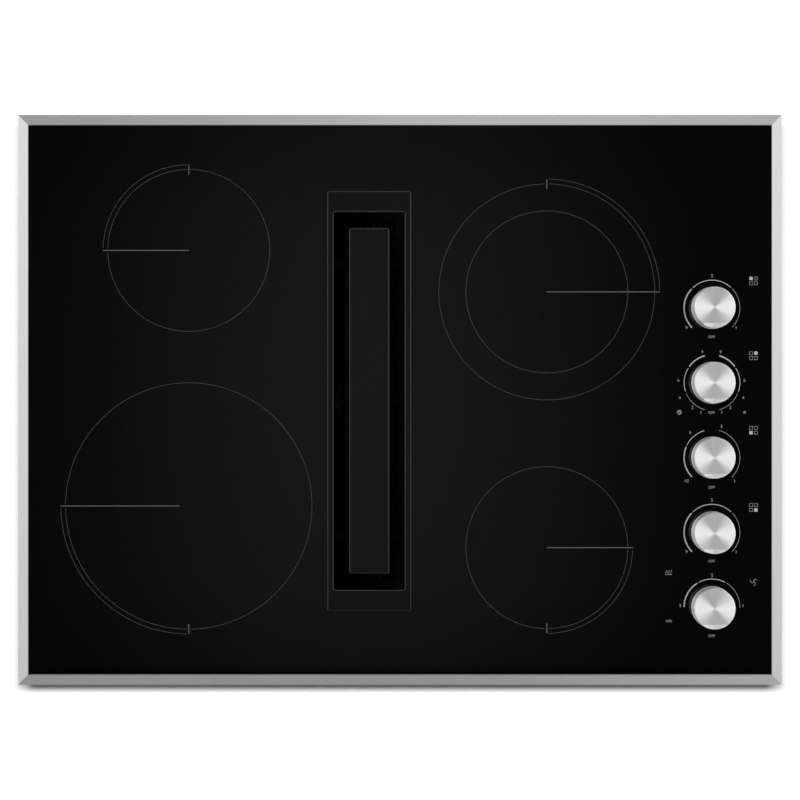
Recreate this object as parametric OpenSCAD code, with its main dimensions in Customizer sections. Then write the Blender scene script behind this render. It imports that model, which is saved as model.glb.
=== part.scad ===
// Downdraft cooktop: a drop-in glass top with four radiant elements, five knobs and a
// centre vent, whose grease filter, plenum, blower and overflow jar hang below the counter.
// Millimetres. The origin is the centre of the countertop cutout, level with the countertop.
// X points right, Y to the rear and Z up.

/* [Trim frame] */
// Depth over the trim frame
frame_d = 585; // [578:1:600]
// Width of the sloped face of the trim
bevel_w = 9.6; // [9:0.1:11]
// Width of the flat lip between the slope and the glass
lip_w = 1.2; // [1:0.1:1.5]
// Height of the trim's outer edge
edge_h = 1.8; // [1.5:0.1:2.2]
// Rise of the lip above the glass
lip_proud = 0.4; // [0.2:0.1:0.6]
// Inset of the skirt that drops into the cutout
skirt_u = 20; // [19:0.1:21]
// Depth of the skirt below the countertop
skirt_h = 14; // [12:0.5:18]
// Thickness of the formed sheet steel
sheet_t = 1; // [0.8:0.1:1.2]

/* [Layout] */
// Gap between the left wall of the box and the largest dish
left_margin = 23.5; // [20:0.5:40]
// Gap between the largest dish and the vent liner
left_vent_gap = 8.8; // [8:0.1:20]
// Gap between the vent liner and the two-ring dish
right_vent_gap = 20; // [10:0.5:30]
// Gap between the two-ring dish and the switch bracket
bracket_gap = 3.9; // [3:0.1:12]
// Width of the switch bracket
plate_w = 78; // [76:0.5:90]
// Gap between the switch bracket and the right wall of the box
right_margin = 24; // [20:0.5:40]
// Distance of the fan knob from the front edge
knob_front = 80.2; // [76:0.1:90]
// Distance of the corner screws from the corners of the trim
skirt_screw_inset = 92; // [60:1:120]

/* [Glass] */
// Thickness of the ceramic glass
glass_t = 4; // [3.5:0.1:5]
// Gap between the glass edge and the lip, filled with silicone
glass_fit = 0.7; // [0.3:0.1:1]
// Thickness of the silicone under the glass
bond_t = 0.4; // [0.3:0.1:0.8]
// Thickness of the foam seal when it is squeezed
seal_t = 1.2; // [1:0.1:2]
// Diameter of the holes for the knob shafts
shaft_hole_d = 12; // [10:0.5:14]

/* [Burner box] */
// Depth of the box below the countertop
box_h = 75; // [72:1:85]
// Gap between the box and the skirt
box_fit = 0.2; // [0.2:0.1:0.4]
// Width of the box's top flange
box_flange = 12; // [10:0.5:13]

/* [Vent] */
// Centre of the vent, front to rear
vent_y = -1.2; // [-4:0.2:4]
// Width over the grille
grille_w = 86; // [84:0.5:88]
// Length over the grille
grille_d = 430; // [420:1:436]
// Width of the grille's long bands
band_w = 6.5; // [6:0.5:8]
// Width of the grille's end bands
band_end = 21.5; // [19:0.5:24]
// Gap at each side of the centre panel
slot_w = 16; // [13:0.5:18]
// Gap at each end of the centre panel
slot_end = 16.5; // [13:0.5:20]
// Height of the grille above the glass
grille_rise = 3; // [2.5:0.1:4]
// Lap of the grille over the glass at its sides
lap_w = 4; // [3:0.5:5]
// Lap of the grille over the glass at its ends
lap_end = 7; // [6:0.5:9]

/* [Grease filter] */
// Gap between each end of the filter and the end of the glass cutout
filter_gap = 13; // [8:0.5:20]
// Width of the filter
filter_w = 118; // [110:1:120]
// Thickness of the filter
filter_t = 9; // [8:0.5:10]
// Lean of the filter from level, in degrees
filter_tilt = 58; // [57:0.5:62]
// Depth of the filter's upper edge below the countertop
filter_drop = 20; // [18:1:24]

/* [Elements] */
// Rear left element, front to rear
rear_left_y = 152.7; // [150:0.5:156]
// Rear right element, front to rear
rear_right_y = 110.7; // [108:0.5:114]
// Front left element, front to rear
front_left_y = -109.2; // [-112:0.2:-107]
// Front right element, front to rear
front_right_y = -151.7; // [-155:0.5:-149]
// Radius of the two small heating zones
small_zone_r = 83.5; // [78:0.5:86]
// Radius of the large heating zone
large_zone_r = 126; // [118:1:128]
// Radius of the two-ring heating zone
dual_zone_r = 110.7; // [104:0.5:112]
// Radius of the inner ring of the two-ring zone
dual_inner_r = 83.5; // [70:0.5:88]
// Height of an element dish
dish_h = 29; // [26:0.5:32]
// Thickness of the insulation under a coil
cake_t = 10; // [8:0.5:12]
// Height of the heating ribbon
ribbon_h = 6; // [5:0.5:8]

/* [Knobs] */
// Distance of the knobs' axes from the left edge of the switch bracket
knob_inset = 52; // [48:0.5:54]
// Distance from knob to knob
knob_pitch = 76.6; // [75:0.2:78]
// Diameter of a knob at its base
knob_d = 43; // [40:0.5:46]
// Diameter of a knob at its top
knob_top_d = 41.8; // [38:0.1:43]
// Height of a knob
knob_h = 25; // [22:0.5:28]
// Distance of the pointer facet from the knob's axis
facet_y = 16.2; // [15:0.1:18]
// Slope of the pointer facet, in degrees
facet_tilt = 22; // [16:1:28]
// Gap between a knob and the glass
knob_gap = 3.2; // [3:0.1:4]
// Diameter of the knob shafts
shaft_d = 6; // [5.5:0.1:6.4]
// Height of an element switch
switch_h = 33; // [30:0.5:36]

/* [Plenum] */
// Width of the plenum
plenum_w = 110; // [106:1:112]
// Reach of the plenum past each end of the glass cutout
plenum_lap = 4; // [3:0.5:7]
// Depth of the plenum's lowest wall below the countertop
plenum_z = 310; // [300:1:330]

/* [Blower] */
// Blower axis, front to rear
blower_y = -40; // [-45:1:-34]
// Depth of the blower axis below the countertop
blower_z = 185; // [182:1:192]
// Diameter of the blower wheel
wheel_d = 150; // [144:1:152]
// Width of the blower wheel
wheel_w = 62; // [56:1:63]
// Number of blades on the wheel
blade_count = 36; // [24:1:40]
// Width of the blower housing
scroll_w = 80; // [80:1:84]
// Smallest radius of the scroll, at its cutoff
scroll_r0 = 80; // [78:0.5:82]
// Largest radius of the scroll, at its outlet
scroll_r1 = 128; // [124:1:130]
// Radius of the inlet throat
throat_r = 56; // [50:0.5:58]

/* [Exhaust] */
// Outer diameter of the damper collar, for 6 inch round duct
collar_d = 151; // [148:0.5:152]
// Length of the damper collar
collar_l = 150; // [150:1:156]
// Depth of the collar's axis below the countertop
collar_z = 265; // [258:1:270]
// Length of the duct transition
transition_l = 70; // [60:1:80]

/* [Overflow jar] */
// Diameter of the jar
jar_d = 104; // [100:1:112]
// Height of the jar
jar_h = 128; // [110:1:140]
// Outer diameter of the drain neck
neck_d = 88; // [84:0.5:90]

/* [Power inlet] */
// Width of the junction box
junction_w = 100; // [94:1:104]
// Depth of the junction box, front to rear
junction_d = 60; // [58:1:64]
// Height of the junction box
junction_h = 40; // [39:1:46]
// Diameter of the conduit knockout, for 3/4 inch conduit
knockout_d = 28.3; // [27:0.1:29]

/* [Clamps] */
// Thickness of the countertop that the clamps grip
counter_t = 38; // [32:1:40]
// Diameter of the clamp screws
clamp_screw_d = 6; // [5.5:0.1:6.4]

/* [Hidden] */
$fn = 64;

// Running gap between bodies that move past each other
gap = 0.3;
// Radial clearance of a shaft in its bore
run_fit = 0.05;
// Overlap that makes a cut go cleanly through
cut = 1;

// Heights of the stack from the countertop up to the glass
shelf_z = seal_t + sheet_t;
glass_z = shelf_z + bond_t;
glass_top_z = glass_z + glass_t;
trim_z = glass_top_z + lip_proud;
lip_u = bevel_w + lip_w;
shelf_u = skirt_u + sheet_t + 4;

// Vent sizes that follow from the grille
mouth_w = grille_w - 2 * band_w;
mouth_d = grille_d - 2 * band_end;
panel_w = mouth_w - 2 * slot_w;
panel_d = mouth_d - 2 * slot_end;
cut_w = grille_w - 2 * lap_w;
cut_d = grille_d - 2 * lap_end;
filter_l = cut_d - 2 * filter_gap;
plenum_d = cut_d + 2 * plenum_lap;

// Positions from left to right, which give the width over the trim
dish_rim = 3;
liner_flange = 9;
left_dish_r = large_zone_r + dish_rim;
right_dish_r = dual_zone_r + dish_rim;
box_inner_w = left_margin + 2 * left_dish_r + left_vent_gap + cut_w + 2 * liner_flange
  + right_vent_gap + 2 * right_dish_r + bracket_gap + plate_w + right_margin;
frame_w = box_inner_w + 2 * (2 * sheet_t + box_fit + skirt_u);
left_zone_x = -box_inner_w / 2 + left_margin + left_dish_r;
vent_x = left_zone_x + left_dish_r + left_vent_gap + liner_flange + cut_w / 2;
right_zone_x = vent_x + cut_w / 2 + liner_flange + right_vent_gap + right_dish_r;
plate_left = right_zone_x + right_dish_r + bracket_gap;
plate_right = plate_left + plate_w;
knob_x = plate_left + knob_inset;
first_knob_y = -frame_d / 2 + knob_front + 4 * knob_pitch;
glass_w = frame_w - 2 * (lip_u + glass_fit);
glass_d = frame_d - 2 * (lip_u + glass_fit);

// Burner box
box_w = frame_w - 2 * (skirt_u + sheet_t + box_fit);
box_d = frame_d - 2 * (skirt_u + sheet_t + box_fit);
floor_z = -box_h;
floor_top = floor_z + sheet_t;

// Screws
screw_r = 2;
screw_hole_r = screw_r + run_fit;
screw_head_h = 3.2;

// Vent and filter
grille_z = glass_top_z + gap;
grille_top_z = glass_top_z + grille_rise;
grille_skirt_z = -8;
cut_corner = 6;
grille_skirt_w = cut_w - 2;
grille_skirt_d = cut_d - 2;
vent_gasket_t = 1;
liner_top_z = glass_z - vent_gasket_t;
liner_foot = 28;
liner_corner = 1.5;
filter_span = filter_w * cos(filter_tilt) + filter_t * sin(filter_tilt);
filter_rise = filter_w * sin(filter_tilt) + filter_t * cos(filter_tilt);
filter_right_x = vent_x + cut_w / 2 - gap;
filter_left_x = filter_right_x - filter_span;
filter_low_z = -filter_drop - filter_rise;

// Elements, in the order rear left, rear right, front left, front right
zone_x = [left_zone_x, right_zone_x, left_zone_x, right_zone_x];
zone_y = [rear_left_y, rear_right_y, front_left_y, front_right_y];
zone_r = [small_zone_r, dual_zone_r, large_zone_r, small_zone_r];
rim_w = 9;
cake_fit = 0.2;
dish_z = glass_z - 1 - dish_h;
coil_z = dish_z + sheet_t + cake_t;
limiter_angle = [180, -90, 90, 180];
limiter_rod_r = 3;
limiter_z = glass_z - limiter_rod_r - 1.5;
limiter_head = [16, 20, 14];

// Knobs and switches
knob_z = glass_top_z + knob_gap;
knob_top_z = knob_z + knob_h;
shaft_r = shaft_d / 2;
shaft_flat = 0.78 * shaft_r;
push_travel = 2.5;
plate_z = -14;
switch_size = [44, 48];
switch_top_z = plate_z;
hub_r = shaft_r + 2.2;
cam_t = 5;
cam_r = 11;
cam_lobe_r = 8;
cam_lobe_x = 6;
cam_z = switch_top_z - 8 - cam_t;
cam_hub_h = 8 + cam_t + 4;
shaft_low_z = cam_z - 4 - 1;
knob_wall = 2;
knob_roof = 3;
knob_edge = 0.8;
rib_t = 1.2;
rib_z = 6;
boss_r = 5.5;
shaft_top_z = knob_top_z - knob_roof - 1;

// Plenum and jar
plenum_right = vent_x + plenum_w / 2;
plenum_left = vent_x - plenum_w / 2;
plenum_front = vent_y - plenum_d / 2;
plenum_rear = vent_y + plenum_d / 2;
plenum_flange = 12;
drain_flat = 60;
drain_slope = 30;
neck_l = 20;
neck_t = 1.5;
jar_gasket_t = 1.7;
jar_fit = 0.6;
jar_t = 2.5;
jar_rim = 16;
jar_top_z = -plenum_z - 2 * gap - jar_gasket_t;

// Blower and duct
inlet_t = 1.2;
inlet_x = plenum_right;
housing_x = inlet_x + inlet_t;
housing_end_x = housing_x + scroll_w;
bell_c = 10;
inlet_plate = 176;
wheel_r = wheel_d / 2;
wheel_x = housing_x + bell_c + 2;
wheel_end_x = wheel_x + wheel_w;
blade_depth = 14;
motor_shaft_r = 4;
motor_r = 48;
motor_l = 62;
cutoff_angle = -35;
outlet_angle = 270;
outlet_y = 86;
duct_y = blower_y + outlet_y;
collar_r = collar_d / 2;
collar_x = plenum_right + collar_r + 7;
collar_y = duct_y + transition_l;
rod_r = 2.5;
rod_rise = 8;
rod_z = -collar_z + rod_rise;
flap_r = collar_r - sheet_t - 1.5;
rod_y = collar_y + flap_r - rod_rise + 2;
bead_y = rod_y + 12;

// Power inlet
junction_side_gap = 20.8;
junction_rear_gap = 41.3;
junction_x = box_w / 2 - junction_side_gap - junction_w / 2;
junction_y = box_d / 2 - junction_rear_gap - junction_d / 2;
junction_top = floor_z;
wire_hole_r = 14;

// Clamps
clamp_x = frame_w / 2 - 10;
clamp_w = 40;
clamp_t = 2;
pad_h = 4;
pad_r = 6.5;
clamp_low_z = -box_h + sheet_t;
clamp_screw_r = clamp_screw_d / 2;

steel = "#b9bcc0";
galvanised = "#a4a8aa";

// Flat shapes
module rect(w, d, r = 0) {
  if (r > 0) {
    square([w - 2 * r, d], center = true);
    square([w, d - 2 * r], center = true);
    for (sx = [-1, 1], sy = [-1, 1])
      translate([sx * (w / 2 - r), sy * (d / 2 - r)]) circle(r);
  } else square([w, d], center = true);
}

module ring(w, d, inner_w, inner_d, r = 0, inner_r = 0) {
  difference() {
    rect(w, d, r);
    rect(inner_w, inner_d, inner_r);
  }
}

module slot(length, width) {
  square([length - width, width], center = true);
  for (s = [-1, 1]) translate([s * (length - width) / 2, 0]) circle(width / 2);
}

// A section drawn as [inset, height], run round a rectangle and mitred at its corners
module mitred_ring(w, d, section, reach, low, high) {
  for (turn = [0:3]) {
    run = turn % 2 == 0 ? w : d;
    off = turn % 2 == 0 ? d / 2 : w / 2;
    rotate(90 * turn) intersection() {
      translate([-run / 2, -off, 0]) rotate([90, 0, 90]) linear_extrude(run) polygon(section);
      translate([0, 0, low]) linear_extrude(high - low)
        polygon([[-run / 2, -off], [run / 2, -off],
          [run / 2 - reach, -off + reach], [-run / 2 + reach, -off + reach]]);
    }
  }
}

// A shaft with a flat, pointing up from the origin
module d_bar(r, flat, h) {
  intersection() {
    cylinder(h = h, r = r);
    translate([-2 * r, -2 * r, -cut]) cube([4 * r, 2 * r + flat, h + 2 * cut]);
  }
}

// Places along X or Z turned to run the named way
module along_x() rotate([0, 90, 0]) children();
module along_y() rotate([-90, 0, 0]) children();

// Sheet-metal screw with its head's seat at the origin and its shank pointing down
module screw(length) {
  translate([0, 0, -length]) cylinder(h = length, r = screw_r);
  cylinder(h = 0.8, r = 4.2);
  translate([0, 0, 0.8]) cylinder(h = screw_head_h - 0.8, r = 3.4, $fn = 6);
}

module low_screw(length) {
  translate([0, 0, -length]) cylinder(h = length, r = screw_r);
  cylinder(h = 1.8, r = 4);
}

module knob_place(i) translate([knob_x, first_knob_y - i * knob_pitch, 0]) children();
module zone_place(i) translate([zone_x[i], zone_y[i], 0]) children();
module vent_place() translate([vent_x, vent_y, 0]) children();

// Screws through the trim's skirt, each with the way it faces
skirt_screw_z = -skirt_h / 2;
function spread(length, count) = [for (k = [0:count - 1]) length * (k / (count - 1) - 0.5)];
module skirt_screws_place() {
  for (side = [0:3]) {
    half = side % 2 == 0 ? frame_d / 2 : frame_w / 2;
    run = (side % 2 == 0 ? frame_w : frame_d) - 2 * skirt_screw_inset;
    for (p = spread(run, side % 2 == 0 ? 4 : 3))
      rotate(90 * side) translate([p, -half + skirt_u, skirt_screw_z]) rotate([90, 0, 0])
        children();
  }
}

// Screws that hold the plenum's flange, the box floor and the vent liner's foot together
plenum_screw_inset = 47;
module plenum_screws_place() {
  off_x = plenum_w / 2 + plenum_flange / 2;
  off_y = plenum_d / 2 + plenum_flange / 2;
  for (s = [-1, 1]) {
    for (y = spread(plenum_d - 2 * plenum_screw_inset, 4))
      translate([vent_x + s * off_x, vent_y + y, floor_z - sheet_t]) children();
    translate([vent_x, vent_y + s * off_y, floor_z - sheet_t]) children();
  }
}

// Screws that hold the clamp brackets to the sides of the box
module clamp_screws_place() {
  for (s = [-1, 1], y = [-12, 12])
    translate([s * (box_w / 2 + clamp_t), y, -counter_t - 18]) rotate([0, 90 * s, 0]) children();
}

// Screws that hold the blower to the plenum's side, driven from inside the plenum
module blower_screws_place() {
  h = inlet_plate / 2 - 8;
  for (sy = [-1, 1], sz = [-1, 1])
    translate([plenum_right - sheet_t, blower_y + sy * h, -blower_z + sz * h])
      rotate([0, -90, 0]) children();
}

// Screws that close the junction box
module junction_screws_place() {
  for (s = [-1, 1])
    translate([junction_x + s * (junction_w / 2 - 8), junction_y,
      junction_top - junction_h - sheet_t]) rotate([180, 0, 0]) children();
}

// Top assembly
module trim_frame() color(steel) {
  slope = (trim_z - edge_h) / bevel_w;
  skin = sheet_t * sqrt(1 + slope * slope);
  section = [[0, gap], [0, edge_h], [bevel_w, trim_z], [lip_u, trim_z],
    [lip_u, shelf_z], [shelf_u, shelf_z], [shelf_u, seal_t],
    [skirt_u + sheet_t, seal_t], [skirt_u + sheet_t, -skirt_h], [skirt_u, -skirt_h],
    [skirt_u, seal_t], [lip_u - sheet_t, seal_t],
    [lip_u - sheet_t, edge_h + (lip_u - sheet_t) * slope - skin],
    [sheet_t, edge_h + sheet_t * slope - skin], [sheet_t, gap]];
  difference() {
    mitred_ring(frame_w, frame_d, section, shelf_u, -skirt_h - cut, trim_z + cut);
    skirt_screws_place() translate([0, 0, -3]) cylinder(h = 6, r = screw_hole_r);
  }
}

module counter_seal() color("#4a4a4a")
  linear_extrude(seal_t)
    ring(frame_w - 4, frame_d - 4, frame_w - 30, frame_d - 30);

glass_corner = 1.5;
bead_low = 0.3;
module glass_bond() color("#2b2b2b")
  translate([0, 0, shelf_z]) {
    linear_extrude(bond_t) ring(frame_w - 2 * lip_u, frame_d - 2 * lip_u,
      frame_w - 2 * shelf_u + 2, frame_d - 2 * shelf_u + 2);
    // the bead that fills the gap round the glass
    linear_extrude(bond_t + glass_t - bead_low)
      ring(frame_w - 2 * lip_u, frame_d - 2 * lip_u, glass_w, glass_d, 0, glass_corner);
  }

module glass_top() color("#141414")
  difference() {
    translate([0, 0, glass_z]) linear_extrude(glass_t) difference() {
      rect(glass_w, glass_d, glass_corner);
      translate([vent_x, vent_y]) rect(cut_w, cut_d, cut_corner);
    }
    for (i = [0:4]) knob_place(i) translate([0, 0, glass_z - cut])
      cylinder(h = glass_t + 2 * cut, r = shaft_hole_d / 2);
  }

wall_slot_l = 36;
wall_slot_inset = 95.8;
bead_w = 14;
bead_h = 1.5;
bead_inset = 80;
bead_off = 60;
module burner_box() color(galvanised)
  difference() {
    union() {
      // beads pressed down into the floor on each side of the vent
      for (x = [left_zone_x, right_zone_x], s = [-1, 1])
        translate([x + s * bead_off, 0, floor_z - bead_h]) linear_extrude(bead_h + sheet_t / 2)
          rotate(90) slot(box_d - 2 * bead_inset, bead_w);
      translate([0, 0, floor_z]) linear_extrude(box_h + seal_t)
        ring(box_w, box_d, box_w - 2 * sheet_t, box_d - 2 * sheet_t);
      translate([0, 0, floor_z]) linear_extrude(sheet_t) rect(box_w, box_d);
      translate([0, 0, seal_t - sheet_t]) linear_extrude(sheet_t)
        ring(box_w, box_d, box_w - 2 * box_flange, box_d - 2 * box_flange);
    }
    vent_place() translate([0, 0, floor_z - cut]) linear_extrude(3) rect(cut_w, cut_d, cut_corner);
    skirt_screws_place() translate([0, 0, -10]) cylinder(h = 16, r = screw_hole_r);
    clamp_screws_place() translate([0, 0, -8]) cylinder(h = 10, r = screw_hole_r);
    plenum_screws_place() translate([0, 0, -cut]) cylinder(h = 5, r = screw_hole_r);
    translate([junction_x, junction_y, floor_z - cut]) cylinder(h = 3, r = wire_hole_r);
    // cooling slots under the switches and in the rear wall
    for (i = [0:4], s = [-1, 1])
      translate([knob_x, first_knob_y - i * knob_pitch + s * 14, floor_z - cut])
        linear_extrude(3) slot(40, 5);
    for (x = spread(box_w - 2 * wall_slot_inset, 11))
      translate([x, box_d / 2 + cut, floor_z / 2]) rotate([90, 0, 0])
        linear_extrude(4) slot(wall_slot_l, 5);
  }

module box_screws() color(steel) skirt_screws_place() low_screw(6);

module vent_gasket() color("#333333")
  vent_place() translate([0, 0, liner_top_z]) linear_extrude(vent_gasket_t)
    ring(cut_w + 2 * liner_flange, cut_d + 2 * liner_flange, cut_w, cut_d, 8, cut_corner);

module vent_liner() color(galvanised)
  difference() {
    vent_place() {
      translate([0, 0, floor_top]) linear_extrude(liner_top_z - floor_top)
        ring(cut_w + 2 * sheet_t, cut_d + 2 * sheet_t, cut_w, cut_d,
          liner_corner + sheet_t, liner_corner);
      translate([0, 0, liner_top_z - sheet_t]) linear_extrude(sheet_t)
        ring(cut_w + 2 * liner_flange, cut_d + 2 * liner_flange, cut_w, cut_d, 8, liner_corner);
      translate([0, 0, floor_top]) linear_extrude(sheet_t)
        ring(cut_w + 2 * liner_foot, cut_d + 2 * liner_foot, cut_w, cut_d, 4, liner_corner);
    }
    plenum_screws_place() translate([0, 0, -cut]) cylinder(h = 8, r = screw_hole_r);
  }

// A solid whose rounded outline grows by the same amount on every side from foot to top
module flared(w, d, r, grow, h) {
  rotate([90, 0, 0]) linear_extrude(d - 2 * r, center = true)
    polygon([[-w / 2, 0], [w / 2, 0], [w / 2 + grow, h], [-w / 2 - grow, h]]);
  rotate([90, 0, 90]) linear_extrude(w - 2 * r, center = true)
    polygon([[-d / 2, 0], [d / 2, 0], [d / 2 + grow, h], [-d / 2 - grow, h]]);
  for (sx = [-1, 1], sy = [-1, 1])
    translate([sx * (w / 2 - r), sy * (d / 2 - r), 0]) cylinder(h = h, r1 = r, r2 = r + grow);
}

// Grille: an outer frame with crossbars, and a centre panel that stands on them
grille_edge_w = 1;
grille_edge_h = 0.5;
grille_corner = 2.5;
crossbar_top = 0;
crossbar_inset = 53.5;
crossbar_y = [for (k = [-1:1]) k * (mouth_d / 2 - crossbar_inset)];
crossbar_w = 5;
module grille_frame() color("#1a1a1a") {
  h = grille_top_z - grille_z;
  vent_place() {
    translate([0, 0, grille_z]) difference() {
      union() {
        linear_extrude(h - grille_edge_h) rect(grille_w, grille_d, grille_corner);
        translate([0, 0, h - grille_edge_h])
          flared(grille_w, grille_d, grille_corner, -grille_edge_w, grille_edge_h);
      }
      translate([0, 0, -cut]) linear_extrude(h + 2 * cut) rect(mouth_w, mouth_d, grille_corner);
      translate([0, 0, h - grille_edge_h])
        flared(mouth_w, mouth_d, grille_corner, grille_edge_w, grille_edge_h);
    }
    translate([0, 0, grille_skirt_z]) linear_extrude(grille_z - grille_skirt_z + 0.5)
      ring(grille_skirt_w, grille_skirt_d, mouth_w, grille_skirt_d - 3,
        cut_corner - 1, cut_corner - 2.5);
    for (y = crossbar_y) {
      translate([-mouth_w / 2 - 0.5, y - crossbar_w / 2, grille_skirt_z])
        cube([mouth_w + 1, crossbar_w, crossbar_top - grille_skirt_z]);
      translate([0, y, crossbar_top - 0.5])
        cylinder(h = grille_top_z - knob_wall - crossbar_top + 0.5, r = 4);
    }
  }
}

module grille_panel() color("#1a1a1a") {
  h = grille_top_z - crossbar_top;
  vent_place() translate([0, 0, crossbar_top]) difference() {
    union() {
      linear_extrude(h - grille_edge_h) rect(panel_w, panel_d, grille_corner);
      translate([0, 0, h - grille_edge_h])
        flared(panel_w, panel_d, grille_corner, -grille_edge_w, grille_edge_h);
    }
    translate([0, 0, -cut]) linear_extrude(h - knob_wall + cut)
      rect(panel_w - 4.4, panel_d - 4.4, grille_corner - 1);
  }
}

// The filter lies in a slanted plane: across it runs X, along it runs Y
filter_rim = 8;
module filter_place()
  translate([(filter_left_x + filter_right_x) / 2, vent_y, filter_low_z + filter_rise / 2])
    rotate([0, -filter_tilt, 0]) children();

module filter_frame() color(steel)
  filter_place() difference() {
    translate([0, 0, -filter_t / 2]) linear_extrude(filter_t)
      ring(filter_w, filter_l, filter_w - 2 * filter_rim, filter_l - 2 * filter_rim);
    // the channel that holds the mesh
    translate([0, 0, -filter_t / 2 + sheet_t]) linear_extrude(filter_t - 2 * sheet_t)
      rect(filter_w - 2 * sheet_t, filter_l - 2 * sheet_t);
  }

mesh_cols = 7;
mesh_rows = 30;
module filter_mesh() color("#c4c6c8")
  filter_place() translate([0, 0, -filter_t / 2 + sheet_t]) {
    w = filter_w - 2 * sheet_t;
    l = filter_l - 2 * sheet_t;
    h = filter_t - 2 * sheet_t;
    strand = 1.6;
    linear_extrude(h) ring(w, l, w - 12, l - 12);
    for (i = [1:mesh_cols]) translate([-w / 2 + 6 + i * (w - 12) / (mesh_cols + 1), 0, h / 2])
      cube([strand, l - 11, 3], center = true);
    for (j = [1:mesh_rows]) translate([0, -l / 2 + 6 + j * (l - 12) / (mesh_rows + 1), h / 2])
      cube([w - 11, strand, 3], center = true);
  }

// Radiant elements
module element_dishes() color(galvanised)
  for (i = [0:3]) difference() {
    r = zone_r[i] + dish_rim;
    zone_place(i) translate([0, 0, dish_z]) rotate_extrude() {
      square([r, sheet_t]);
      translate([r - sheet_t, 0]) square([sheet_t, dish_h - 2]);
    }
    limiter_place(i) translate([-zone_r[i], 0, 0]) along_x()
      cylinder(h = 3 * zone_r[i], r = limiter_rod_r + 0.5);
  }

module insulation_cakes() color("#d9d4c6")
  for (i = [0:3]) difference() {
    r = zone_r[i] + dish_rim - sheet_t - cake_fit;
    zone_place(i) translate([0, 0, dish_z + sheet_t]) rotate_extrude() {
      square([r, cake_t]);
      translate([r - rim_w, 0]) square([rim_w, glass_z - dish_z - sheet_t]);
      if (i == 1) translate([dual_inner_r - 3, 0]) square([6, coil_z + 12 - dish_z - sheet_t]);
    }
    limiter_place(i) translate([-zone_r[i], 0, 0]) along_x()
      cylinder(h = 3 * zone_r[i], r = limiter_rod_r + 0.5);
  }

// One unbroken ribbon: arcs joined end to end by short radial runs, in and out in turn
ribbon_t = 0.8;
ribbon_cross = 0.2;
module ribbon(r_in, r_out, turns) {
  step = (r_out - r_in) / (turns - 1);
  open = 24;
  for (k = [0:turns - 1]) {
    r = r_in + k * step;
    rotate(open / 2) rotate_extrude(angle = 360 - open)
      translate([r - ribbon_t / 2, 0]) square([ribbon_t, ribbon_h]);
    if (k < turns - 1) rotate((k % 2 == 0 ? 1 : -1) * open / 2)
      translate([r - ribbon_t / 2 - ribbon_cross, -ribbon_t / 2, 0])
        cube([step + ribbon_t + 2 * ribbon_cross, ribbon_t, ribbon_h]);
  }
}

module coil(i) color("#7d6a5a")
  zone_place(i) translate([0, 0, coil_z]) rotate(limiter_angle[i]) {
    r_out = zone_r[i] + dish_rim - sheet_t - rim_w - 5;
    if (i == 1) {
      ribbon(18, dual_inner_r - 9, 6);
      ribbon(dual_inner_r + 7, r_out, 3);
    } else ribbon(18, r_out, i == 2 ? 9 : 6);
  }

module limiter_place(i)
  zone_place(i) translate([0, 0, limiter_z]) rotate(limiter_angle[i]) children();

// A quartz rod over the coil, and its switch head outside the dish
module limiters() color("#e6e2da")
  for (i = [0:3]) limiter_place(i) {
    r = zone_r[i] + dish_rim;
    translate([-0.6 * r, 0, 0]) along_x() cylinder(h = 1.6 * r + 2, r = limiter_rod_r);
    translate([r + 1, -limiter_head[1] / 2, -limiter_head[2] + limiter_rod_r])
      cube(limiter_head);
    for (s = [-1, 1]) translate([r + 1 + limiter_head[0] - 0.5, s * 5 - 0.4, -6])
      cube([8, 0.8, 5]);
  }

// Channels under each pair of elements, on leaf springs
rail_w = 44;
rail_h = 14.6;
rail_l = box_d - 2 * sheet_t - 20;
module element_rails() color(galvanised)
  for (x = [left_zone_x, right_zone_x])
    translate([x, 0, dish_z - rail_h]) rotate([90, 0, 0]) translate([0, 0, -rail_l / 2])
      linear_extrude(rail_l) {
        translate([-rail_w / 2, 0]) square([rail_w, sheet_t]);
        for (s = [0, 1]) translate([-rail_w / 2 + s * (rail_w - sheet_t), 0])
          square([sheet_t, rail_h]);
      }

spring_rise = dish_z - rail_h - floor_top;
spring_chord = 130;
spring_inset = 110.3;
module element_springs() color("#8d9196") {
  r = (spring_chord * spring_chord / 4 + spring_rise * spring_rise) / (2 * spring_rise);
  for (x = [left_zone_x, right_zone_x], s = [-1, 1])
    translate([x - 10, s * (rail_l / 2 - spring_inset), floor_top])
      rotate([90, 0, 90]) linear_extrude(20)
      intersection() {
        translate([0, spring_rise - r]) difference() {
          circle(r);
          circle(r - sheet_t);
        }
        translate([-spring_chord, 0]) square([2 * spring_chord, spring_rise + cut]);
      }
}

// Controls: a hat channel carries the switches and the lamps
bracket_end = 40;
bracket_y0 = first_knob_y - 4 * knob_pitch - bracket_end;
bracket_y1 = first_knob_y + bracket_end;
lamp_x = plate_left + 9;
lamp_y = [first_knob_y - 4 * knob_pitch + 24, first_knob_y - 4 * knob_pitch - 26];
module control_bracket() color(galvanised)
  difference() {
    h = plate_z + sheet_t - floor_top;
    translate([0, bracket_y1, floor_top]) rotate([90, 0, 0])
      linear_extrude(bracket_y1 - bracket_y0) {
        translate([plate_left, h - sheet_t]) square([plate_right - plate_left, sheet_t]);
        translate([plate_left, 0]) square([sheet_t, h]);
        translate([plate_right - sheet_t, 0]) square([sheet_t, h]);
        translate([plate_left - 9, 0]) square([10, sheet_t]);
        translate([plate_right - 1, 0]) square([12, sheet_t]);
      }
    for (i = [0:4]) knob_place(i) {
      translate([0, 0, plate_z - cut]) cylinder(h = 3, r = hub_r + 3);
      for (s = [-1, 1]) translate([s * 14, 0, plate_z - cut]) cylinder(h = 3, r = screw_hole_r);
    }
  }

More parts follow.
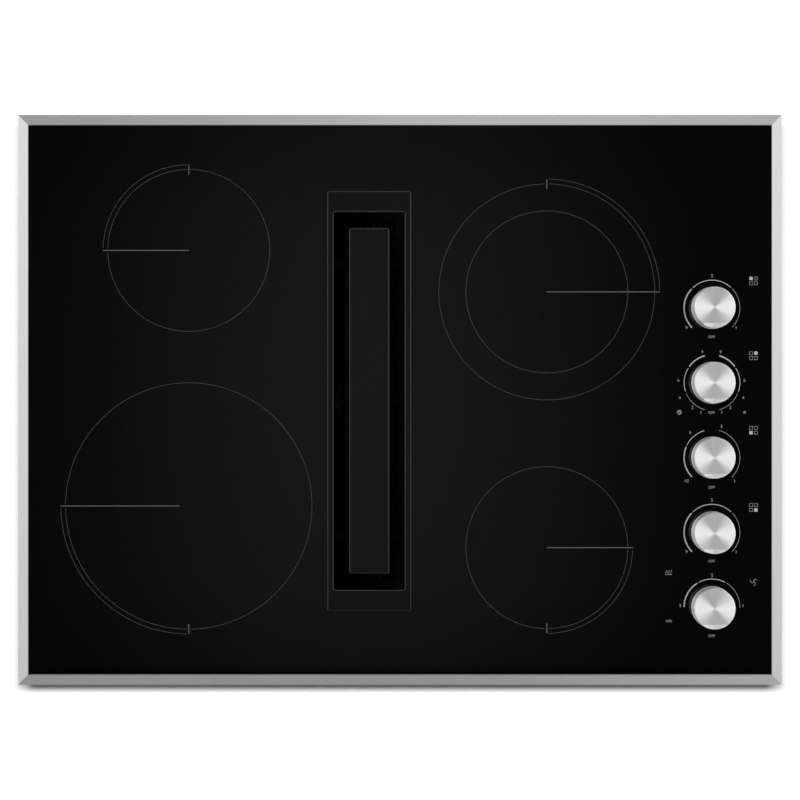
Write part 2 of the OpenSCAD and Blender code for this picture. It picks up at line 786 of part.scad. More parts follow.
// A switch body with a chamber for its cam or wiper, and tabs underneath
module switch_body(chamber_r, chamber_z, chamber_h, bore_r, low_bore_z) {
  h = switch_h;
  difference() {
    translate([-switch_size[0] / 2, -switch_size[1] / 2, switch_top_z - h])
      cube([switch_size[0], switch_size[1], h]);
    translate([0, 0, chamber_z]) cylinder(h = chamber_h, r = chamber_r);
    translate([0, 0, low_bore_z]) cylinder(h = switch_top_z - low_bore_z + cut, r = bore_r);
    for (s = [-1, 1]) translate([s * 14, 0, switch_top_z - 8]) cylinder(h = 9, r = screw_hole_r);
    for (s = [-1, 1]) translate([s * switch_size[0] / 2, 0, switch_top_z - h / 2])
      cube([3, switch_size[1] - 14, h - 10], center = true);
  }
  for (x = [-12, 0, 12], s = [-1, 1])
    translate([x - 3, s * 15 - 0.4, switch_top_z - h - 8]) cube([6, 0.8, 8.5]);
}

module element_switches() color("#33363a")
  for (i = [0:3]) knob_place(i)
    switch_body(cam_lobe_x + cam_lobe_r + 1, cam_z - gap, cam_t + 2 * gap, hub_r + run_fit,
      shaft_low_z - push_travel - 1);

module fan_switch() color("#33363a")
  knob_place(4)
    switch_body(12, cam_z - gap, cam_t + 2 * gap, shaft_r + run_fit, shaft_low_z - 0.5);

module cam() color("#d8d2c0")
  difference() {
    union() {
      translate([0, 0, cam_z]) cylinder(h = cam_t, r = cam_r);
      translate([cam_lobe_x, 0, cam_z]) cylinder(h = cam_t, r = cam_lobe_r);
      translate([0, 0, cam_z - 4]) cylinder(h = cam_hub_h, r = hub_r);
    }
    translate([0, 0, cam_z - 4 - cut])
      d_bar(shaft_r + run_fit, shaft_flat + run_fit, cam_hub_h + 2 * cut);
  }

module shaft(i) color(steel)
  knob_place(i) {
    if (i < 4) translate([0, 0, shaft_low_z])
      d_bar(shaft_r, shaft_flat, shaft_top_z - shaft_low_z);
    else {
      translate([0, 0, shaft_low_z]) cylinder(h = knob_z - shaft_low_z, r = shaft_r);
      translate([0, 0, knob_z]) d_bar(shaft_r, shaft_flat, shaft_top_z - knob_z);
      translate([0, 0, cam_z]) cylinder(h = cam_t, r = 11);
    }
  }

// Knob: a spun cap with a thin lip at its base, a pointer facet at the front and a boss
module knob(i) color("#c9ccd0")
  knob_place(i) translate([0, 0, knob_z]) difference() {
    r = knob_d / 2;
    top_r = knob_top_d / 2;
    roof_z = knob_h - knob_roof;
    union() {
      rotate_extrude() polygon([[0, roof_z], [top_r - knob_wall, roof_z],
        [r - knob_wall, 0.6], [r - knob_wall, 0], [r - 0.4, 0], [r, 0.4], [r, 1.4],
        [r - 0.4, 1.8], [top_r, knob_h - knob_edge], [top_r - knob_edge, knob_h], [0, knob_h]]);
      cylinder(h = roof_z + 0.5, r = boss_r);
      // ribs from the boss into the middle of the wall
      for (a = [45:90:315]) rotate(a) rotate([90, 0, 0]) translate([0, 0, -rib_t / 2])
        linear_extrude(rib_t) polygon([[boss_r - 0.5, rib_z], [r - knob_wall / 2, rib_z],
          [top_r - knob_wall / 2, roof_z + 0.5], [boss_r - 0.5, roof_z + 0.5]]);
    }
    translate([0, 0, -cut]) d_bar(shaft_r, shaft_flat, shaft_top_z - knob_z + cut);
    translate([0, -facet_y, knob_h]) rotate([facet_tilt, 0, 0]) translate([-r, -r, 0])
      cube([2 * r, r, 10]);
  }

module indicator_lamps() color("#7a1414")
  for (y = lamp_y) translate([lamp_x, y, plate_z + sheet_t]) {
    translate([-6, -6, 0]) cube([12, 12, 8]);
    translate([0, 0, 7]) cylinder(h = glass_z - plate_z - sheet_t - 7, r = 3);
  }

// Power inlet
// Spot-welded plates with fine seams between them: a top, four walls and two cover tabs
seam = 0.1;
junction_tab = [15, 14];
module junction_box() color(galvanised)
  difference() {
    wall_h = junction_h - sheet_t - seam;
    translate([junction_x, junction_y, junction_top - junction_h]) {
      translate([0, 0, junction_h - sheet_t]) linear_extrude(sheet_t)
        rect(junction_w, junction_d);
      for (s = [-1, 1]) {
        translate([0, s * (junction_d - sheet_t) / 2, 0]) linear_extrude(wall_h)
          rect(junction_w, sheet_t);
        translate([s * (junction_w - sheet_t) / 2, 0, 0]) linear_extrude(wall_h)
          rect(sheet_t, junction_d - 2 * (sheet_t + seam));
        translate([s * (junction_w / 2 - sheet_t - seam - junction_tab[0] / 2), 0, 0])
          linear_extrude(sheet_t) rect(junction_tab[0], junction_tab[1]);
      }
    }
    translate([junction_x, junction_y, junction_top - 3]) cylinder(h = 5, r = wire_hole_r);
    translate([junction_x + junction_w / 2 - 3, junction_y, junction_top - junction_h / 2])
      along_x() cylinder(h = 6, r = knockout_d / 2);
    junction_screws_place() translate([0, 0, -4]) cylinder(h = 6, r = screw_hole_r);
  }

module junction_cover() color(galvanised)
  difference() {
    translate([junction_x, junction_y, junction_top - junction_h - sheet_t])
      linear_extrude(sheet_t) rect(junction_w, junction_d);
    junction_screws_place() translate([0, 0, -4]) cylinder(h = 6, r = screw_hole_r);
  }

module terminal_block() color("#e8e4d8")
  translate([junction_x - 42, junction_y - 24, junction_top - sheet_t - 20]) difference() {
    union() {
      cube([22, 48, 20]);
      for (k = [0:3]) translate([22, k * 12 + 1.5, 4]) cube([6, 9, 9]);
    }
    for (k = [0:3]) translate([-cut, k * 12 + 6, 8.5]) along_x() cylinder(h = 30, r = 2.6);
    for (k = [1:3]) translate([6, k * 12 - 1, -cut]) cube([18, 2, 12]);
  }

// Ventilation
// The plenum's outline in the YZ plane, drawn in by t, with a floor that slopes to the drain
function plenum_outline(t) = [[plenum_front + t, floor_z - sheet_t + 2 * t],
  [plenum_rear - t, floor_z - sheet_t + 2 * t],
  [plenum_rear - t, -plenum_z + drain_slope + t], [vent_y + drain_flat, -plenum_z + t],
  [vent_y - drain_flat, -plenum_z + t], [plenum_front + t, -plenum_z + drain_slope + t]];

clip_inset = 55;
module plenum() color(galvanised) {
  difference() {
    union() {
      translate([plenum_left, 0, 0]) rotate([90, 0, 90]) linear_extrude(plenum_w)
        polygon(plenum_outline(0));
      vent_place() {
        translate([0, 0, floor_z - sheet_t]) linear_extrude(sheet_t)
          rect(plenum_w + 2 * plenum_flange, plenum_d + 2 * plenum_flange);
        translate([0, 0, -plenum_z - neck_l]) cylinder(h = neck_l + 1, r = neck_d / 2);
      }
    }
    translate([plenum_left + sheet_t, 0, 0]) rotate([90, 0, 90])
      linear_extrude(plenum_w - 2 * sheet_t) polygon(plenum_outline(sheet_t));
    vent_place() translate([0, 0, -plenum_z - neck_l - cut])
      cylinder(h = neck_l + 5, r = neck_d / 2 - neck_t);
    translate([plenum_right - 5, blower_y, -blower_z]) along_x()
      cylinder(h = 10, r = throat_r + bell_c);
    plenum_screws_place() translate([0, 0, -cut]) cylinder(h = 4, r = screw_hole_r);
    blower_screws_place() translate([0, 0, -4]) cylinder(h = 6, r = screw_hole_r);
  }
  // clips on the left wall that carry the filter's lower edge
  for (s = [-1, 1]) translate([plenum_left + sheet_t - 0.5,
    vent_y + s * (filter_l / 2 - clip_inset) - 12, filter_low_z - gap - sheet_t]) {
    cube([filter_left_x - plenum_left + 14, 24, sheet_t]);
    cube([sheet_t, 24, 12]);
  }
}

// The scroll's outline in the YZ plane, drawn in by t: a spiral and a straight outlet
outlet_h = scroll_r1 + scroll_r0 * sin(cutoff_angle);
scroll_growth = ln(scroll_r1 / scroll_r0) / (outlet_angle - cutoff_angle);
function spiral(t) =
  [for (a = [cutoff_angle:(outlet_angle - cutoff_angle) / 36:outlet_angle + 0.1])
    let (r = scroll_r0 * exp(scroll_growth * (a - cutoff_angle)) - t) [r * cos(a), r * sin(a)]];
function scroll(t) = concat(spiral(t),
  [[outlet_y, -scroll_r1 + t], [outlet_y, scroll_r0 * sin(cutoff_angle) - t]],
  [[scroll_r0 * cos(cutoff_angle), scroll_r0 * sin(cutoff_angle) - t]]);

// A side plate of the scroll, which stands out past the spiral band all round
scroll_rim = 5;
module scroll_plate() rotate([90, 0, 90]) linear_extrude(sheet_t) {
  polygon(concat(spiral(-scroll_rim), [[0, 0]]));
  circle(scroll_r0 - 1);
  translate([-1, -scroll_r1 - scroll_rim]) square([outlet_y + 1, outlet_h + 2 * scroll_rim]);
}

module blower_place(x) translate([x, blower_y, -blower_z]) children();

module blower_housing() color(galvanised)
  difference() {
    blower_place(housing_x) {
      rotate([90, 0, 90]) linear_extrude(scroll_w) polygon(scroll(0));
      for (x = [0, scroll_w - sheet_t]) translate([x, 0, 0]) scroll_plate();
      // outlet flange, cut flush on the side of the plenum
      translate([0, outlet_y - sheet_t, -scroll_r1 - 8])
        cube([scroll_w + 8, sheet_t, outlet_h + 16]);
    }
    blower_place(housing_x + sheet_t) rotate([90, 0, 90])
      linear_extrude(scroll_w - 2 * sheet_t) polygon(scroll(sheet_t));
    // the mouth stays open through the flange
    blower_place(housing_x + sheet_t)
      translate([0, outlet_y - 4, -scroll_r1 + sheet_t])
        cube([scroll_w - 2 * sheet_t, 6, outlet_h - 2 * sheet_t]);
    blower_place(housing_x - cut) along_x() cylinder(h = 4, r = throat_r + bell_c);
    blower_place(housing_end_x - 3) along_x() cylinder(h = 6, r = motor_shaft_r + 12);
    blower_screws_place() translate([0, 0, -6]) cylinder(h = 8, r = screw_hole_r);
  }

// Inlet plate with a bell mouth that leads the air into the wheel
module blower_inlet() color(steel) {
  difference() {
    translate([inlet_x, blower_y, -blower_z]) rotate([90, 0, 90]) linear_extrude(inlet_t)
      rect(inlet_plate, inlet_plate, 10);
    blower_place(inlet_x - cut) along_x() cylinder(h = 4, r = throat_r + bell_c - 1);
    blower_screws_place() translate([0, 0, -6]) cylinder(h = 8, r = screw_hole_r);
  }
  blower_place(inlet_x) along_x() rotate_extrude()
    translate([throat_r + bell_c, bell_c]) intersection() {
      difference() {
        circle(bell_c);
        circle(bell_c - inlet_t);
      }
      translate([-bell_c, -bell_c]) square([bell_c, bell_c]);
    }
}

// Forward-curved blade as a thin arc, drawn at the right of the wheel
module blade() {
  bow = 11;
  translate([wheel_r - blade_depth / 2 - 0.5, 0]) intersection() {
    translate([0, -bow * 0.72]) difference() {
      circle(bow, $fn = 32);
      circle(bow - 0.9, $fn = 32);
    }
    translate([-blade_depth / 2, 0]) square([blade_depth, bow]);
  }
}

module blower_wheel() color("#9a9da0")
  difference() {
    union() {
      blower_place(wheel_x) rotate([90, 0, 90]) linear_extrude(wheel_w - 1)
        for (k = [0:blade_count - 1]) rotate(k * 360 / blade_count) blade();
      blower_place(wheel_x) along_x() difference() {
        cylinder(h = 2.5, r = wheel_r);
        translate([0, 0, -cut]) cylinder(h = 5, r = wheel_r - blade_depth);
      }
      blower_place(wheel_end_x - 1.5) along_x() cylinder(h = 1.5, r = wheel_r);
      blower_place(wheel_end_x - 16) along_x() cylinder(h = 18, r = 12);
    }
    blower_place(wheel_end_x - 20) along_x() rotate(90)
      d_bar(motor_shaft_r, 0.8 * motor_shaft_r, 30);
  }

module motor_shaft() color(steel)
  blower_place(wheel_end_x - 14) along_x() rotate(90) {
    d_bar(motor_shaft_r, 0.8 * motor_shaft_r, 16);
    translate([0, 0, 16]) cylinder(h = housing_end_x + motor_l - 8 - wheel_end_x, r = motor_shaft_r);
  }

module blower_motor() color("#3c4044")
  blower_place(housing_end_x) along_x() difference() {
    union() {
      cylinder(h = 2, r = motor_r + 10);
      cylinder(h = 16, r = motor_r - 8);
      translate([0, 0, 14]) cylinder(h = 34, r = motor_r);
      translate([0, 0, 46]) cylinder(h = motor_l - 46, r = motor_r - 8);
    }
    translate([0, 0, -cut]) cylinder(h = motor_l - 2, r = motor_shaft_r + run_fit);
    translate([0, 0, -cut]) cylinder(h = 4, r = 13);
    for (a = [0:30:330]) rotate(a) translate([motor_r - 26, -2.5, motor_l - 9])
      cube([14, 5, 10]);
    for (a = [0:30:330]) rotate(a) translate([motor_r - 12, -2.5, 5]) cube([8, 5, 7]);
  }

capacitor_at = [-84, 34];
module motor_capacitor() color("#25282b")
  blower_place(housing_end_x) translate([0, capacitor_at[0], capacitor_at[1]]) along_x() {
    cylinder(h = 58, r = 16);
    translate([0, 0, 20]) cylinder(h = 8, r = 17);
    for (s = [-1, 1]) translate([s * 6 - 0.4, -3, 57]) cube([0.8, 6, 8]);
  }

// The transition's loft from the housing's outlet to the round collar, drawn in by t
module transition_loft(t) {
  hull() {
    translate([housing_x + t, duct_y, -blower_z - scroll_r1 + t])
      cube([scroll_w - 2 * t, 0.1, outlet_h - 2 * t]);
    translate([collar_x, collar_y - 0.1, -collar_z]) along_y()
      cylinder(h = 0.1, r = collar_r - t, $fn = 48);
  }
}

module duct_transition() color(galvanised)
  difference() {
    transition_loft(0);
    translate([0, -0.05, 0]) transition_loft(sheet_t);
    translate([0, 0.05, 0]) transition_loft(sheet_t);
  }

module damper_collar() color(galvanised)
  difference() {
    translate([collar_x, 0, -collar_z]) along_y() {
      translate([0, 0, collar_y]) rotate_extrude() {
        translate([collar_r - sheet_t, 0]) square([sheet_t, collar_l]);
        translate([collar_r - sheet_t / 2, bead_y - collar_y]) circle(2, $fn = 32);
      }
    }
    translate([collar_x, rod_y, rod_z]) along_x()
      cylinder(h = 2 * collar_r + 20, r = rod_r + run_fit, center = true);
    translate([collar_x, collar_y - cut, -collar_z]) along_y()
      cylinder(h = collar_l + 2 * cut, r = collar_r - sheet_t);
  }

module damper_rod() color(steel)
  translate([collar_x, rod_y, rod_z]) along_x()
    cylinder(h = 2 * collar_r + 5, r = rod_r, center = true);

module damper_flap() color(steel)
  difference() {
    union() {
      translate([collar_x, rod_y - rod_r - sheet_t, -collar_z]) along_y()
        cylinder(h = sheet_t, r = flap_r);
      for (s = [-1, 1]) translate([collar_x + s * 40 - 8, rod_y - rod_r - 0.5, rod_z - rod_r - 1])
        cube([16, 2 * rod_r + 1.5, 2 * rod_r + 2]);
    }
    translate([collar_x, rod_y, rod_z]) along_x()
      cylinder(h = 2 * collar_r, r = rod_r, center = true);
  }

// Overflow jar under the drain neck
module jar_gasket() color("#3a3a3a")
  vent_place() translate([0, 0, jar_top_z + gap]) difference() {
    cylinder(h = jar_gasket_t, r = neck_d / 2 + 6);
    translate([0, 0, -cut]) cylinder(h = jar_gasket_t + 2 * cut, r = neck_d / 2 + gap);
  }

function arc(x, y, r, from, to, steps) =
  [for (k = [0:steps]) let (a = from + (to - from) * k / steps) [x + r * cos(a), y + r * sin(a)]];

module overflow_jar() color("#c8ccd0")
  vent_place() translate([0, 0, jar_top_z - jar_h]) rotate_extrude() {
    mouth_r = neck_d / 2 + jar_fit;
    r = jar_d / 2;
    corner = 8;
    shoulder = jar_h - jar_rim - 12;
    polygon(concat([[0, 0]], arc(r - corner, corner, corner, -90, 0, 6),
      [[r, shoulder], [mouth_r + jar_t, jar_h - jar_rim], [mouth_r + jar_t, jar_h],
        [mouth_r, jar_h], [mouth_r, jar_h - jar_rim - 1], [r - jar_t, shoulder - 1]],
      arc(r - corner, corner, corner - jar_t, 0, -90, 6), [[0, jar_t]]));
  }

// Hold-down clamps
module clamp_brackets() color(steel)
  difference() {
    for (s = [-1, 1]) mirror([s < 0 ? 1 : 0, 0, 0]) {
      translate([box_w / 2, -clamp_w / 2, clamp_low_z])
        cube([clamp_t, clamp_w, -counter_t - 10 - clamp_low_z]);
      translate([box_w / 2, -clamp_w / 2, clamp_low_z])
        cube([clamp_x + 8 - box_w / 2, clamp_w, clamp_t]);
      translate([clamp_x, 0, clamp_low_z - 5]) cylinder(h = 5.5, r = 6.5, $fn = 6);
    }
    for (s = [-1, 1]) translate([s * clamp_x, 0, clamp_low_z - 10])
      cylinder(h = 20, r = clamp_screw_r + run_fit);
    clamp_screws_place() translate([0, 0, -4]) cylinder(h = 6, r = screw_hole_r);
  }

module clamp_screw(s) color(steel)
  translate([s * clamp_x, 0, 0]) {
    translate([0, 0, -counter_t - pad_h]) cylinder(h = pad_h, r = pad_r);
    translate([0, 0, -box_h - 28]) cylinder(h = box_h + 28 - counter_t - pad_h + 0.5, r = clamp_screw_r);
    translate([0, 0, -box_h - 32]) cylinder(h = 5, r = 7, $fn = 6);
  }

module body_screws() color(steel) {
  plenum_screws_place() rotate([180, 0, 0]) screw(4);
  clamp_screws_place() screw(7);
  blower_screws_place() screw(6);
  junction_screws_place() rotate([0, 0, 0]) screw(4);
  for (i = [0:4]) knob_place(i) for (s = [-1, 1])
    translate([s * 14, 0, plate_z + sheet_t]) screw(8);
}

trim_frame();
counter_seal();
glass_bond();
glass_top();
burner_box();
box_screws();
vent_gasket();
vent_liner();
grille_frame();
grille_panel();
filter_frame();
filter_mesh();
element_dishes();
insulation_cakes();
coil(0);  // coil_rear_left
coil(1);  // coil_rear_right
coil(2);  // coil_front_left
coil(3);  // coil_front_right
limiters();
element_rails();
element_springs();
control_bracket();
element_switches();
fan_switch();
knob_place(0) cam();  // cam_rear_left
knob_place(1) cam();  // cam_rear_right
knob_place(2) cam();  // cam_front_left
knob_place(3) cam();  // cam_front_right
shaft(0);  // shaft_rear_left
shaft(1);  // shaft_rear_right
shaft(2);  // shaft_front_left
shaft(3);  // shaft_front_right
shaft(4);  // shaft_fan
knob(0);  // knob_rear_left
knob(1);  // knob_rear_right
knob(2);  // knob_front_left
knob(3);  // knob_front_right
knob(4);  // knob_fan
indicator_lamps();
junction_box();
junction_cover();
terminal_block();
plenum();
blower_inlet();
blower_housing();
blower_wheel();
motor_shaft();
blower_motor();
motor_capacitor();
duct_transition();
damper_collar();
damper_flap();
damper_rod();
jar_gasket();
overflow_jar();
clamp_brackets();
clamp_screw(-1);  // clamp_screw_left
clamp_screw(1);  // clamp_screw_right
body_screws();
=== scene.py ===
"""Looks of a downdraft cooktop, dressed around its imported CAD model.

Lengths here are millimetres in the CAD frame unless a name says otherwise: X points right,
Y to the rear and Z up, and the countertop's top is at zero. Blender's own units are metres.
"""

import logging
import math
from dataclasses import dataclass, field
from enum import Enum
from typing import Callable, Optional, Sequence, Union

import bmesh
import bpy
from mathutils import Matrix, Vector


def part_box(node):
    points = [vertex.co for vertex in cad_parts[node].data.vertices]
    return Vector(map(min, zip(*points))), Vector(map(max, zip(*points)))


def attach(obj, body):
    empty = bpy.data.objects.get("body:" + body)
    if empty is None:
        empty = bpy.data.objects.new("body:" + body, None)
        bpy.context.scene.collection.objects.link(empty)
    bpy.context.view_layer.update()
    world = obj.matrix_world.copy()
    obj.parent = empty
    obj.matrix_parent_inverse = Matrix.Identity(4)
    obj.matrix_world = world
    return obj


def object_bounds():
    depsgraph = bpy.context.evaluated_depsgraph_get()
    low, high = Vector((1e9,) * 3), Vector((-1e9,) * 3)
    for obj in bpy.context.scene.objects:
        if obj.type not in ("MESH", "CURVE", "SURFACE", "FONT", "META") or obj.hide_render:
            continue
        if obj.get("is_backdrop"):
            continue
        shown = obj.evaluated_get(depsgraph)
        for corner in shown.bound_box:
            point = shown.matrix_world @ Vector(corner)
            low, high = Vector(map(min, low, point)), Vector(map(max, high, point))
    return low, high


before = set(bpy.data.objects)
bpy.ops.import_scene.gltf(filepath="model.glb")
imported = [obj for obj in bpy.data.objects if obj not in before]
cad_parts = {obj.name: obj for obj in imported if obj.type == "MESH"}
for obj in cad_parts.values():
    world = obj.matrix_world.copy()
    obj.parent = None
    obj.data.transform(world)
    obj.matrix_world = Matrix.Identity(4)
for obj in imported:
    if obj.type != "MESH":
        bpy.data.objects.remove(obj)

log = logging.getLogger("cooktop")

MM = 0.001
Point = Sequence[float]
Colour = Sequence[float]
Feed = Union["Wire", float, Sequence[float]]

# The heating stations, with the column and row of each in a sign of four squares.
STATIONS = {"rear_left": (0, 1), "rear_right": (1, 1), "front_left": (0, 0),
            "front_right": (1, 0)}
FULL_TURN = (0.0, 360.0)
INK_T = 0.04
GLASS_IOR = 1.5


class Body(Enum):
    """The bodies that new pieces ride on."""

    BASE = "base"
    REAR_LEFT_KNOB = "rear_left_knob"
    REAR_RIGHT_KNOB = "rear_right_knob"
    FRONT_LEFT_KNOB = "front_left_knob"
    FRONT_RIGHT_KNOB = "front_right_knob"
    FAN_KNOB = "fan_knob"


class Slot(Enum):
    """The record's material slots named for new pieces; nothing reads them."""

    GLASS = "glass"
    KNOB = "knob"


class Layout(Enum):
    """How a noise node lays out its pattern."""

    SOLID = "3D"
    ALONG = "1D"


def operator(operation: str, reflected: bool = False) -> Callable[["Wire", Feed], "Wire"]:
    """Makes an operator of Wire.

    Args:
        operation: Blender's name of the Math node's operation.
        reflected: whether the wire is the second operand.

    Returns:
        The method.
    """
    def apply(wire: "Wire", other: Feed) -> "Wire":
        """Adds the Math node."""
        return wire.sheet.math(operation, *((other, wire) if reflected else (wire, other)))
    return apply


@dataclass(frozen=True)
class Wire:
    """One output socket that can stand in Python arithmetic."""

    sheet: "NodeSheet"
    socket: bpy.types.NodeSocket

    def math(self, operation: str, *others: Feed) -> "Wire":
        """Adds a Math node of that operation, with this value first."""
        return self.sheet.math(operation, self, *others)

    __add__, __radd__ = operator("ADD"), operator("ADD", reflected=True)
    __sub__, __rsub__ = operator("SUBTRACT"), operator("SUBTRACT", reflected=True)
    __mul__, __rmul__ = operator("MULTIPLY"), operator("MULTIPLY", reflected=True)
    __truediv__, __rtruediv__ = operator("DIVIDE"), operator("DIVIDE", reflected=True)
    __pow__ = operator("POWER")
    __lt__ = operator("LESS_THAN")
    __gt__ = operator("GREATER_THAN")

    def root(self) -> "Wire":
        """Square root."""
        return self.math("SQRT")

    def size(self) -> "Wire":
        """Value without its sign."""
        return self.math("ABSOLUTE")

    def sign(self) -> "Wire":
        """One with the value's sign."""
        return self.math("SIGN")

    def smooth(self, low: float, high: float) -> "Wire":
        """Rises smoothly from zero at low to one at high."""
        node = self.sheet.add("ShaderNodeMapRange", {"interpolation_type": "SMOOTHSTEP"},
                              {"Value": self, "From Min": low, "From Max": high})
        return self.sheet.out(node, "Result")

    def between(self, first: Feed, second: Feed) -> "Wire":
        """The first value where this one is zero, and the second where it is one."""
        return (1 - self) * first + self * second


class NodeSheet:
    """The node tree of one material or world, and the one way to add nodes to it."""

    def __init__(self, tree: bpy.types.NodeTree) -> None:
        """Empties a tree.

        Args:
            tree: the node tree to draw in.
        """
        self.tree = tree
        tree.nodes.clear()

    def add(self, kind: str, settings: Optional[dict[str, str]] = None,
            sockets: Optional[dict[str, Feed]] = None) -> bpy.types.Node:
        """Adds a node.

        Args:
            kind: Blender's type name of the node.
            settings: properties to set first.
            sockets: what each input takes, by its identifier or name.

        Returns:
            The new node.
        """
        node = self.tree.nodes.new(kind)
        for name, value in (settings or {}).items():
            setattr(node, name, value)
        for name, value in (sockets or {}).items():
            self._feed(self._find(node.inputs, name), value)
        return node

    @staticmethod
    def _find(sockets: Sequence[bpy.types.NodeSocket], name: str) -> bpy.types.NodeSocket:
        """Finds a socket by its identifier, or else by its name.

        Args:
            sockets: a node's inputs or outputs.
            name: the identifier or name.

        Returns:
            The socket.
        """
        for socket in sockets:
            if socket.identifier == name:
                return socket
        return next(s for s in sockets if s.name == name and s.enabled)

    def _feed(self, socket: bpy.types.NodeSocket, value: Feed) -> None:
        """Links a wire to an input, or writes a constant on it.

        Args:
            socket: the input.
            value: a wire, a number, or the parts of a vector or colour.
        """
        if isinstance(value, Wire):
            self.tree.links.new(value.socket, socket)
        elif isinstance(value, (int, float)):
            socket.default_value = value
        elif len(value) == 3 and len(socket.default_value) == 4:
            socket.default_value = (*value, 1.0)
        else:
            socket.default_value = value

    def out(self, node: bpy.types.Node, name: str) -> Wire:
        """The node's output of that identifier or name."""
        return Wire(self, self._find(node.outputs, name))

    def math(self, operation: str, *operands: Feed) -> Wire:
        """Adds a Math node.

        Args:
            operation: Blender's name of the operation.
            operands: wires or numbers, in order.

        Returns:
            The node's value.
        """
        node = self.add("ShaderNodeMath", {"operation": operation})
        for socket, value in zip(node.inputs, operands):
            self._feed(socket, value)
        return self.out(node, "Value")

    def split(self, vector: Wire) -> tuple[Wire, Wire, Wire]:
        """The three parts of a vector."""
        node = self.add("ShaderNodeSeparateXYZ", sockets={"Vector": vector})
        return self.out(node, "X"), self.out(node, "Y"), self.out(node, "Z")

    def join(self, x: Feed, y: Feed, z: Feed) -> Wire:
        """A vector from its three parts."""
        node = self.add("ShaderNodeCombineXYZ", sockets={"X": x, "Y": y, "Z": z})
        return self.out(node, "Vector")

    def blend(self, amount: Feed, first: Feed, second: Feed) -> Wire:
        """A colour between two colours."""
        node = self.add("ShaderNodeMix", {"data_type": "RGBA"},
                        {"Factor_Float": amount, "A_Color": first, "B_Color": second})
        return self.out(node, "Result_Color")

    def shades(self, amount: Feed, colour: Colour, low: float, high: float = 1.0) -> Wire:
        """A colour between two shades of itself."""
        return self.blend(amount, *([share * part for part in colour] for share in (low, high)))

    def place(self) -> Wire:
        """The point in the CAD frame, in metres, which stays with the piece as it moves."""
        return self.out(self.add("ShaderNodeTexCoord"), "Object")

    def facing(self) -> Wire:
        """The direction that the surface faces."""
        return self.out(self.add("ShaderNodeNewGeometry"), "Normal")

    def noise(self, cells: float, detail: float = 2.0, vector: Optional[Wire] = None,
              along: Optional[Wire] = None) -> Wire:
        """Smooth random values round one half.

        Args:
            cells: cells per metre.
            detail: octaves.
            vector: the place to look up, or none for the point itself.
            along: a single value to look up instead of a place.

        Returns:
            The noise.
        """
        if along is None:
            layout, spot = Layout.SOLID, {"Vector": vector or self.place()}
        else:
            layout, spot = Layout.ALONG, {"W": along}
        node = self.add("ShaderNodeTexNoise", {"noise_dimensions": layout.value},
                        {**spot, "Scale": cells, "Detail": detail})
        return self.out(node, "Fac")

    def bump(self, height: Wire, depth_mm: float, base: Optional[Wire] = None) -> Wire:
        """A normal that follows a height.

        Args:
            height: the height, from zero to one.
            depth_mm: the depth of that range, in millimetres.
            base: the normal to start from, or none for the surface's own.

        Returns:
            The normal.
        """
        sockets = {"Height": height, "Strength": 1.0, "Distance": depth_mm * MM}
        if base is not None:
            sockets["Normal"] = base
        return self.out(self.add("ShaderNodeBump", sockets=sockets), "Normal")

    def shader(self, sockets: dict[str, Feed]) -> Wire:
        """Adds a Principled shader."""
        return self.out(self.add("ShaderNodeBsdfPrincipled", sockets=sockets), "BSDF")

    def painted_shade_black(self, colour: Colour, rough: Feed) -> Wire:
        """Adds a black shader that hardly shines, which stands in for shade (painted shade)."""
        return self.shader({"Base Color": colour, "Roughness": rough,
                            "Specular IOR Level": 0.05})

    def mix(self, amount: Feed, first: Wire, second: Wire) -> Wire:
        """A shader between two shaders."""
        node = self.add("ShaderNodeMixShader",
                        sockets={"Fac": amount, "Shader": first, "Shader_001": second})
        return self.out(node, "Shader")

    def finish(self, shader: Wire) -> None:
        """Ends the tree in a shader."""
        self.add("ShaderNodeOutputMaterial", sockets={"Surface": shader})

    def surface(self, sockets: dict[str, Feed]) -> None:
        """Ends the tree in one Principled shader."""
        self.finish(self.shader(sockets))


@dataclass(frozen=True)
class Finish:
    """A finish with a name of its own; each kind draws its nodes in paint()."""

    name: str

    def material(self) -> bpy.types.Material:
        """Makes the material once.

        Returns:
            The finish as a Blender material.
        """
        found = bpy.data.materials.get(self.name)
        if found is None:
            found = bpy.data.materials.new(self.name)
            found.use_nodes = True
            self.paint(NodeSheet(found.node_tree))
        return found

    def paint(self, sheet: NodeSheet) -> None:
        """Draws the finish's nodes.

        Args:
            sheet: the emptied tree of the new material.
        """
        raise NotImplementedError


@dataclass(frozen=True)
class BlackGlass(Finish):
    """Polished black ceramic glass, a little wavy, with fine flecks and faint smudges."""

    colour: Colour = (0.0012, 0.0012, 0.0013)
    fleck_colour: Colour = (0.006,) * 3
    fleck_share: float = 0.4
    gloss: float = 0.015
    smudge: float = 0.02

    def paint(self, sheet: NodeSheet) -> None:
        """Draws the glass.

        Args:
            sheet: the emptied tree.
        """
        smudges = sheet.noise(cells=9.0, detail=4.0).smooth(0.45, 0.75)
        waves = sheet.noise(cells=14.0, detail=1.0)
        flecks = sheet.noise(cells=900.0, detail=0.0).smooth(0.70, 0.78)
        sheet.surface({
            "Base Color": sheet.blend(flecks * self.fleck_share, self.colour, self.fleck_colour),
            "Roughness": self.gloss + self.smudge * smudges,
            "IOR": GLASS_IOR,
            "Normal": sheet.bump(waves, depth_mm=0.004),
        })


